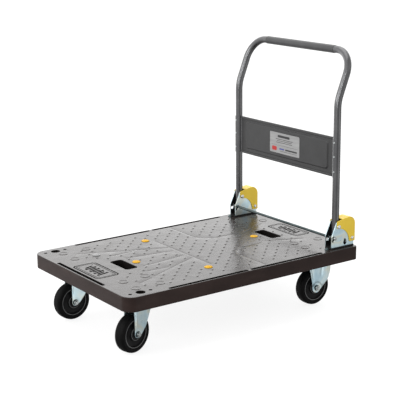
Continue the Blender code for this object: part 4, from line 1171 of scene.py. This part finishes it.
def build_wheel(tag, centre, turn, wheel_body, axle_body):
    m = Matrix.Translation(centre) @ Matrix.Rotation(turn, 4, 'Z') @ TURN_Y
    half = rounded([(WR, 0.0, 0), (WR - 0.0001, 0.0080, 0.02), (WR - 0.0012, 0.0140, 0.006), (WR - 0.0052, 0.0180, 0.005),
                    (0.0540, 0.0186, 0.001), (0.0532, 0.0180, 0.0006), (0.0522, 0.0180, 0.0006), (0.0514, 0.0184, 0.001),
                    (0.0480, 0.0178, 0.0012), (0.0464, WH - 0.0006, 0)], False, 4)
    prof = [(r, h) for r, h in half] + [(0.0462, WH - 0.0016), (0.0462, -WH + 0.0016)] + [(r, -h) for r, h in reversed(half)][:-1]
    q = Mesh()
    lathe(q, prof, m, 72, closed=True)
    put(q.make("caster_tyre_" + tag, [TYRE], weighted=False), wheel_body, "tyre_rubber", "tyre_" + tag)

    hubz = 0.0190
    side = rounded([(0.0461, WH - 0.0022, 0), (0.0461, WH - 0.0002, 0.0006), (0.0438, WH - 0.0001, 0.0008), (0.0425, WH - 0.0016, 0.0006),
                    (0.0405, 0.0104, 0.0030), (0.0300, 0.0092, 0.004), (0.0232, 0.0100, 0.0020), (0.0212, hubz - 0.0016, 0.0012),
                    (0.0196, hubz, 0.0012), (0.0150, hubz - 0.0004, 0.002), (0.0130, hubz - 0.0020, 0.001), (0.0110, hubz - 0.0020, 0.001),
                    (0.0100, hubz, 0.0006), (0.0083, hubz, 0)], False, 4)
    prof = side + [(r, -h) for r, h in reversed(side)]
    q = Mesh()
    lathe(q, prof, m, 72, closed=True)
    # thin light rings on the rim and hub lips, in slot 1: painted highlights
    for sg in (1.0, -1.0):
        for rr, rz, rw in ((0.0449, WH - 0.0002, 0.0011), (0.0205, hubz - 0.0007, 0.0009)):
            lathe(q, [(rr + rw * math.cos(2 * PI * k / 8), sg * (rz + 0.0005 * math.sin(2 * PI * k / 8))) for k in range(8)],
                  m, 72, closed=True, mat=1)
    put(q.make("caster_wheel_" + tag, [RIM, RIM_PAINTED_HIGHLIGHT], deg=45.0), wheel_body, "wheel_plastic", "wheel_centre_" + tag)

    bl = FORK_OUT - FORK_T - GAP
    q = Mesh()
    lathe(q, [(0.0080, bl - 0.0004), (0.0080, -bl + 0.0004), (0.0076, -bl), (AXLE_R + 0.0002, -bl), (AXLE_R + 0.0002, bl), (0.0076, bl)], m, 32, closed=True)
    put(q.make("caster_bush_" + tag, [STEEL]), axle_body, "steel", "wheel_bush_" + tag)

    e = FORK_OUT + 0.0001
    # bolt: hexagon head on one side, threaded end standing out of the nut on the other
    q = Mesh()
    end = -(FORK_OUT + GAP) - 0.0105
    prof = [(0.0, e + 0.0030), (AXLE_R, e + 0.0030), (AXLE_R, -e - 0.0060)]
    z = -e - 0.0060
    while z > end + 0.0014:
        prof += [(AXLE_R, z - 0.0002), (AXLE_R - 0.0006, z - 0.0006)]
        z -= 0.0010
    prof += [(AXLE_R - 0.0002, end + 0.0010), (AXLE_R - 0.0011, end), (0.0, end)]
    lathe(q, prof, m, 32)
    hex_solid(q, 0.0092, e, e + 0.0062, m, 0.2)
    put(q.make("caster_axle_bolt_" + tag, [STEEL], deg=32.0), axle_body, "steel", "axle_bolt_" + tag)
    q = Mesh()
    lathe(q, [(AXLE_R + 0.0003, -e), (0.0102, -e), (0.0102, -e - 0.0008), (0.0098, -e - 0.0011), (AXLE_R + 0.0003, -e - 0.0011)], m, 36, closed=True, mat=1)
    hex_solid(q, 0.0092, -e - 0.0071, -e - 0.0011, m, 0.4, bore=AXLE_R + 0.0001)
    # the washer (slot 1) takes the dark painted-shade steel
    put(q.make("caster_axle_nut_" + tag, [STEEL, DARK_SHADED_STEEL], deg=32.0), axle_body, "steel", "axle_nut_" + tag)


def smooth01(t):
    t = max(0.0, min(1.0, t))
    return t * t * (3 - 2 * t)


def fixing_bolts(tag, cx, cy, dx, dy, body="root"):
    """Four screws through the plate, with a washer and a hexagon head below it."""
    q = Mesh()
    z = PLATE_TOP - PLATE_T
    for ix in (-1, 1):
        for iy in (-1, 1):
            m = Matrix.Translation((cx + ix * dx, cy + iy * dy, z))
            lathe(q, [(0.0, -0.0001), (0.0082, -0.0001), (0.0082, -0.0011), (0.0078, -0.0014), (0.0, -0.0014)], m, 28)
            hex_solid(q, 0.0072, -0.0062, -0.0013, m, 0.3 + ix * 0.2 + iy * 0.4)
    ob = q.make("caster_fixing_bolts_" + tag, [STEEL], deg=32.0)
    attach(ob, body)


for side, s in SIDES:
    body = "swivel_" + side
    turn_axis = JOINT["wheel_spin_front_" + side]["axis"]
    turn = math.atan2(-turn_axis[0], turn_axis[1])
    c = Vector(JOINT["swivel_" + side]["pos_m"])
    wc = Vector(JOINT["wheel_spin_front_" + side]["pos_m"])
    place = Matrix.Translation((c.x, c.y, 0.0)) @ Matrix.Rotation(turn, 4, 'Z')
    ax = (place.inverted() @ wc).x
    z0 = PLATE_TOP - PLATE_T
    sp = Mesh()
    slots = []
    for ix in (-1, 1):
        for iy in (-1, 1):
            slots.append(circle(c.x + ix * 0.0400, c.y + iy * 0.0375, 0.0050, 16))
    plate(sp, rounded_rect(c.x - 0.0525, c.y - 0.050, c.x + 0.0525, c.y + 0.050, 0.008, 6), slots, z0, PLATE_TOP, Matrix.Identity(4), 0.0007, 3)
    lathe(sp, rounded([(0.0066, z0 + 0.0008, 0), (0.0400, z0 + 0.0008, 0), (0.0372, z0 - 0.0006, 0.001), (0.0352, 0.1612, 0.0015),
                       (0.0378, 0.1598, 0.001), (0.0386, 0.1570, 0.0016), (0.0384, 0.1540, 0.001), (0.0360, 0.1530, 0.0006),
                       (0.0066, 0.1530, 0)], False, 4), Matrix.Translation((c.x, c.y, 0.0)), 56, closed=True)
    put(sp.make("caster_top_plate_" + side, [ZINC], deg=45.0), "root", "zinc", "swivel_plate_" + side)
    fixing_bolts("front_" + side, c.x, c.y, 0.0400, 0.0375)

    crown0, crown1 = 0.1490, 0.1526
    zc = wc.z
    fm = Mesh()
    crown = (arc(0.0, 0.0, 0.0345, math.radians(-46), math.radians(46), 18)
             + [(ax - 0.0080, 0.0240), (ax - 0.0100, 0.0220), (ax - 0.0100, -0.0220), (ax - 0.0080, -0.0240)])
    plate(fm, crown, [circle(0.0, 0.0, 0.0066, 24)], crown0, crown1, place, 0.0006, 2)
    lathe(fm, rounded([(0.0300, crown1 - 0.0002, 0), (0.0328, crown1 + 0.0002, 0.0006), (0.0340, crown1 - 0.0010, 0.0008), (0.0340, crown0 - 0.0014, 0.001),
                       (0.0310, crown0 - 0.0030, 0.0016), (0.0140, crown0 - 0.0030, 0.002), (0.0125, crown0 + 0.0004, 0.0008), (0.0125, crown0 + 0.001, 0)], False, 3),
          place, 48, closed=True)
    leg = rounded([(ax - 0.0105, crown1 - 0.0004, 0.0015), (ax - 0.0112, zc + 0.002, 0)], False)[:1]
    leg = [(ax - 0.0105, crown1 - 0.0004), (ax - 0.0109, zc + 0.0300), (ax - 0.0112, zc + 0.0100)]
    leg += arc(ax, zc, 0.0118, math.radians(180), math.radians(325), 18)
    leg += rounded([(ax + 0.0115, zc - 0.0060, 0), (ax + 0.0185, zc - 0.0035, 0.008), (ax + 0.0380, zc + 0.0185, 0.03), (ax + 0.0530, zc + 0.0510, 0.06),
                    (ax + 0.0640, zc + 0.0760, 0.03), (ax + 0.0665, crown1 - 0.0004, 0)], False, 6)[1:]

    def press(u, v, ax=ax, zc=zc):
        # a rounded flange up the straight front edge, a flat land round the axle, a swelling towards the crown
        edge = smooth01((ax - 0.0040 - u) / 0.0040) * smooth01((v - zc - 0.016) / 0.02)
        land = smooth01((0.0150 - math.hypot(u - ax, v - zc)) / 0.0035)
        swell = smooth01((v - zc - 0.020) / 0.050) * smooth01(1 - abs(u - ax - 0.024) / 0.030)
        return -0.0012 * edge + 0.0006 * land + 0.0011 * swell
    for q in (1.0, -1.0):
        # local z runs to -Y before placing, so the outer face is the one away from the wheel
        lo_t, hi_t = -q * FORK_OUT, -q * (FORK_OUT - FORK_T)
        t0, t1 = sorted((lo_t, hi_t))
        plate(fm, leg, [circle(ax, zc, AXLE_R + 0.0003, 20)], t0, t1, place @ UPRIGHT, 0.0009, 3,
              disp=(lambda u, v, q=q: -q * press(u, v)), grid=0.0030)
    put(fm.make("caster_swivel_fork_" + side, [ZINC], deg=45.0), body, "zinc", "swivel_fork_" + side)

    k_lo, k_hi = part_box("king_pin_" + side)
    q = Mesh()
    lathe(q, rounded([(0.0, k_hi.z, 0), (0.0060, k_hi.z, 0), (0.0060, crown0 - 0.0002, 0), (0.0105, crown0 - 0.0002, 0.0006), (0.0105, crown0 - 0.0050, 0.0014),
                      (0.0060, k_lo.z, 0.001), (0.0, k_lo.z, 0)], False, 4), Matrix.Translation((c.x, c.y, 0.0)), 36)
    put(q.make("caster_king_pin_" + side, [STEEL]), body, "steel", "king_pin_" + side)
    build_wheel("front_" + side, wc, turn, "wheel_front_" + side, body)

for side, s in SIDES:
    wc = Vector(JOINT["wheel_spin_rear_" + side]["pos_m"])
    c = Vector((wc.x, wc.y, 0.0))
    z0 = PLATE_TOP - PLATE_T
    zc = wc.z
    fm = Mesh()
    holes = [circle(c.x + ix * 0.0500, c.y + iy * 0.0385, 0.0050, 16) for ix in (-1, 1) for iy in (-1, 1)]
    plate(fm, rounded_rect(c.x - 0.062, c.y - 0.050, c.x + 0.062, c.y + 0.050, 0.008, 6), holes, z0, PLATE_TOP, Matrix.Identity(4), 0.0007, 3)
    leg = rounded([(-0.0540, PLATE_TOP - 0.0012, 0), (-0.0540, 0.1600, 0.004), (-0.0440, 0.1500, 0.008), (-0.0310, 0.1320, 0.02), (-0.0270, 0.1180, 0.04),
                   (-0.0185, zc + 0.0080, 0.02), (-0.0180, zc, 0)], False, 5)[:-1]
    leg += arc(0.0, zc, 0.0180, math.radians(180), math.radians(325), 18)
    leg += rounded([(0.0150, zc - 0.0095, 0), (0.0270, zc + 0.0010, 0.012), (0.0430, zc + 0.0180, 0.03), (0.0510, zc + 0.0300, 0.03), (0.0600, zc + 0.0560, 0.06),
                    (0.0588, 0.1600, 0.02), (0.0588, PLATE_TOP - 0.0012, 0)], False, 5)[1:]

    def press(u, v, zc=zc):
        d = math.hypot(u, v - zc)
        left = -0.0235 - 0.012 * smooth01((v - zc - 0.03) / 0.07)
        edge = smooth01((left + 0.0065 - u) / 0.0035) * smooth01((v - zc - 0.020) / 0.012)
        valley = math.exp(-((u - 0.020 - 0.10 * (v - zc - 0.06)) / 0.0040) ** 2) * smooth01((v - zc - 0.034) / 0.02)
        swell = smooth01((d - 0.0172) / 0.0070) * smooth01((v - zc) / 0.010)
        return 0.0026 * swell - 0.0024 * edge - 0.0012 * valley
    for q in (1.0, -1.0):
        lo_t, hi_t = -q * FORK_OUT, -q * (FORK_OUT - FORK_T)
        t0, t1 = sorted((lo_t, hi_t))
        plate(fm, leg, [circle(0.0, zc, AXLE_R + 0.0003, 20)], t0, t1, Matrix.Translation(c) @ UPRIGHT, 0.0009, 3,
              disp=(lambda u, v, q=q: -q * press(u, v)), grid=0.0030)
    put(fm.make("caster_rigid_fork_" + side, [ZINC], deg=45.0), "root", "zinc", "rigid_fork_" + side)
    fixing_bolts("rear_" + side, c.x, c.y, 0.0500, 0.0385)
    build_wheel("rear_" + side, wc, 0.0, "wheel_rear_" + side, "root")

# ------------------------------------------------------------------ camera, floor and light
mid_deck = Vector(((D_LO.x + D_HI.x) / 2, (D_LO.y + D_HI.y) / 2, 0.0))
yaw, pitch, roll = math.radians(54.6534), math.radians(14.2910), math.radians(-0.5119)
eye = mid_deck + Vector((-2.15943, -3.06712, TOP + 1.12574))
v = Vector((math.cos(pitch) * math.cos(yaw), math.cos(pitch) * math.sin(yaw), -math.sin(pitch)))
r = v.cross(Vector((0, 0, 1))).normalized()
u = r.cross(v)
r2 = r * math.cos(roll) + u * math.sin(roll)
u2 = u * math.cos(roll) - r * math.sin(roll)
cam_data = bpy.data.cameras.new("Camera")
cam_data.sensor_width = 36.0
cam_data.lens = 1162.3495 / 400.0 * 36.0
cam_data.clip_start, cam_data.clip_end = 0.05, 200.0
cam_data.dof.use_dof = False
cam = bpy.data.objects.new("Camera", cam_data)
scene.collection.objects.link(cam)
cam.matrix_world = Matrix(((r2.x, u2.x, -v.x, eye.x), (r2.y, u2.y, -v.y, eye.y), (r2.z, u2.z, -v.z, eye.z), (0, 0, 0, 1)))
scene.camera = cam

bm2 = bmesh.new()
bmesh.ops.create_grid(bm2, x_segments=8, y_segments=8, size=45.0)
fme = bpy.data.meshes.new("studio_floor")
bm2.to_mesh(fme)
bm2.free()
floor = bpy.data.objects.new("studio_floor", fme)
floor.location = (0.0, 0.0, CAD_LO.z - 0.0004)
scene.collection.objects.link(floor)
fmat, nt, b = nodes_of("studio_floor_white")
b.inputs["Base Color"].default_value = (0.25, 0.25, 0.25, 1.0)
b.inputs["Roughness"].default_value = 0.9
b.inputs["Specular IOR Level"].default_value = 0.1
b.inputs["Emission Color"].default_value = (1.0, 1.0, 1.0, 1.0)
b.inputs["Emission Strength"].default_value = 0.84
# seen from above only, so that the underside can be looked at
geo = nt.nodes.new("ShaderNodeNewGeometry")
see = nt.nodes.new("ShaderNodeBsdfTransparent")
mixs = nt.nodes.new("ShaderNodeMixShader")
nt.links.new(geo.outputs["Backfacing"], mixs.inputs["Fac"])
nt.links.new(b.outputs["BSDF"], mixs.inputs[1])
nt.links.new(see.outputs["BSDF"], mixs.inputs[2])
nt.links.new(mixs.outputs["Shader"], nt.nodes["Material Output"].inputs["Surface"])
fme.materials.append(fmat)
floor.visible_diffuse = False
floor.visible_glossy = False

world = bpy.data.worlds.new("studio")
scene.world = world
world.use_nodes = True
nt = world.node_tree
bg = nt.nodes["Background"]
tc = nt.nodes.new("ShaderNodeTexCoord")


def facing(direction, lo, hi, a, c):
    """World light that is a where the direction is at lo or less and c where it is at hi or more."""
    dot = nt.nodes.new("ShaderNodeVectorMath"); dot.operation = 'DOT_PRODUCT'
    dot.inputs[1].default_value = direction
    nt.links.new(tc.outputs["Generated"], dot.inputs[0])
    mr = nt.nodes.new("ShaderNodeMapRange"); mr.interpolation_type = 'SMOOTHSTEP'
    mr.inputs["From Min"].default_value, mr.inputs["From Max"].default_value = lo, hi
    mr.inputs["To Min"].default_value, mr.inputs["To Max"].default_value = a, c
    nt.links.new(dot.outputs["Value"], mr.inputs["Value"])
    return mr.outputs["Result"]


front = facing((0.40, -0.90, -0.10), 0.15, 0.95, 0.0, 0.30)
streak_light = facing((0.405, -0.880, -0.245), 0.955, 0.990, 0.0, 0.95)
beyond = facing((0.578, 0.816, 0.05), 0.10, 0.92, 0.0, 1.95)
left = facing((-0.96, 0.25, 0.05), 0.05, 0.90, 0.0, 0.85)
above = facing((0.0, 0.0, 1.0), -0.25, 0.55, 0.22, 0.60)
high = facing((0.0, 0.0, 1.0), 0.12, 0.42, 1.0, 0.62)
fall = facing((0.0, 0.0, 1.0), -0.70, 0.02, 0.30, 1.0)
side = nt.nodes.new("ShaderNodeMath"); side.operation = 'ADD'
nt.links.new(beyond, side.inputs[0]); nt.links.new(left, side.inputs[1])
low = nt.nodes.new("ShaderNodeMath"); low.operation = 'MULTIPLY'
band = nt.nodes.new("ShaderNodeMath"); band.operation = 'MULTIPLY'
nt.links.new(side.outputs[0], band.inputs[0]); nt.links.new(high, band.inputs[1])
nt.links.new(band.outputs[0], low.inputs[0]); nt.links.new(fall, low.inputs[1])
total = nt.nodes.new("ShaderNodeMath"); total.operation = 'ADD'
nt.links.new(low.outputs[0], total.inputs[0]); nt.links.new(above, total.inputs[1])
bg.inputs["Color"].default_value = (1.0, 1.0, 1.0, 1.0)
whole = nt.nodes.new("ShaderNodeMath"); whole.operation = 'ADD'
nt.links.new(total.outputs[0], whole.inputs[0]); nt.links.new(front, whole.inputs[1])
lit = nt.nodes.new("ShaderNodeMath"); lit.operation = 'ADD'
nt.links.new(whole.outputs[0], lit.inputs[0]); nt.links.new(streak_light, lit.inputs[1])
nt.links.new(lit.outputs[0], bg.inputs["Strength"])


def area(name, loc, target, size, power, colour=(1.0, 1.0, 1.0)):
    d = bpy.data.lights.new(name, 'AREA')
    d.shape = 'RECTANGLE'
    d.size, d.size_y = size
    d.energy = power
    d.color = colour
    o = bpy.data.objects.new(name, d)
    o.location = loc
    o.rotation_mode = 'QUATERNION'
    o.rotation_quaternion = (Vector(loc) - Vector(target)).to_track_quat('Z', 'Y')
    scene.collection.objects.link(o)
    return o


area("key_left", (-4.2, 0.9, 2.2), (0.0, 0.0, 0.3), (2.6, 2.0), 60.0)
area("strip_left", (-2.6, -1.9, 1.6), (0.4, 0.0, 0.6), (0.35, 2.4), 26.0)
area("top_soft", (0.2, 0.6, 4.2), (0.0, 0.0, 0.2), (3.4, 3.4), 55.0)

scene.view_settings.view_transform = 'Standard'
scene.view_settings.look = 'None'
scene.view_settings.exposure = 0.0
scene.view_settings.gamma = 1.0

bpy.context.view_layer.update()
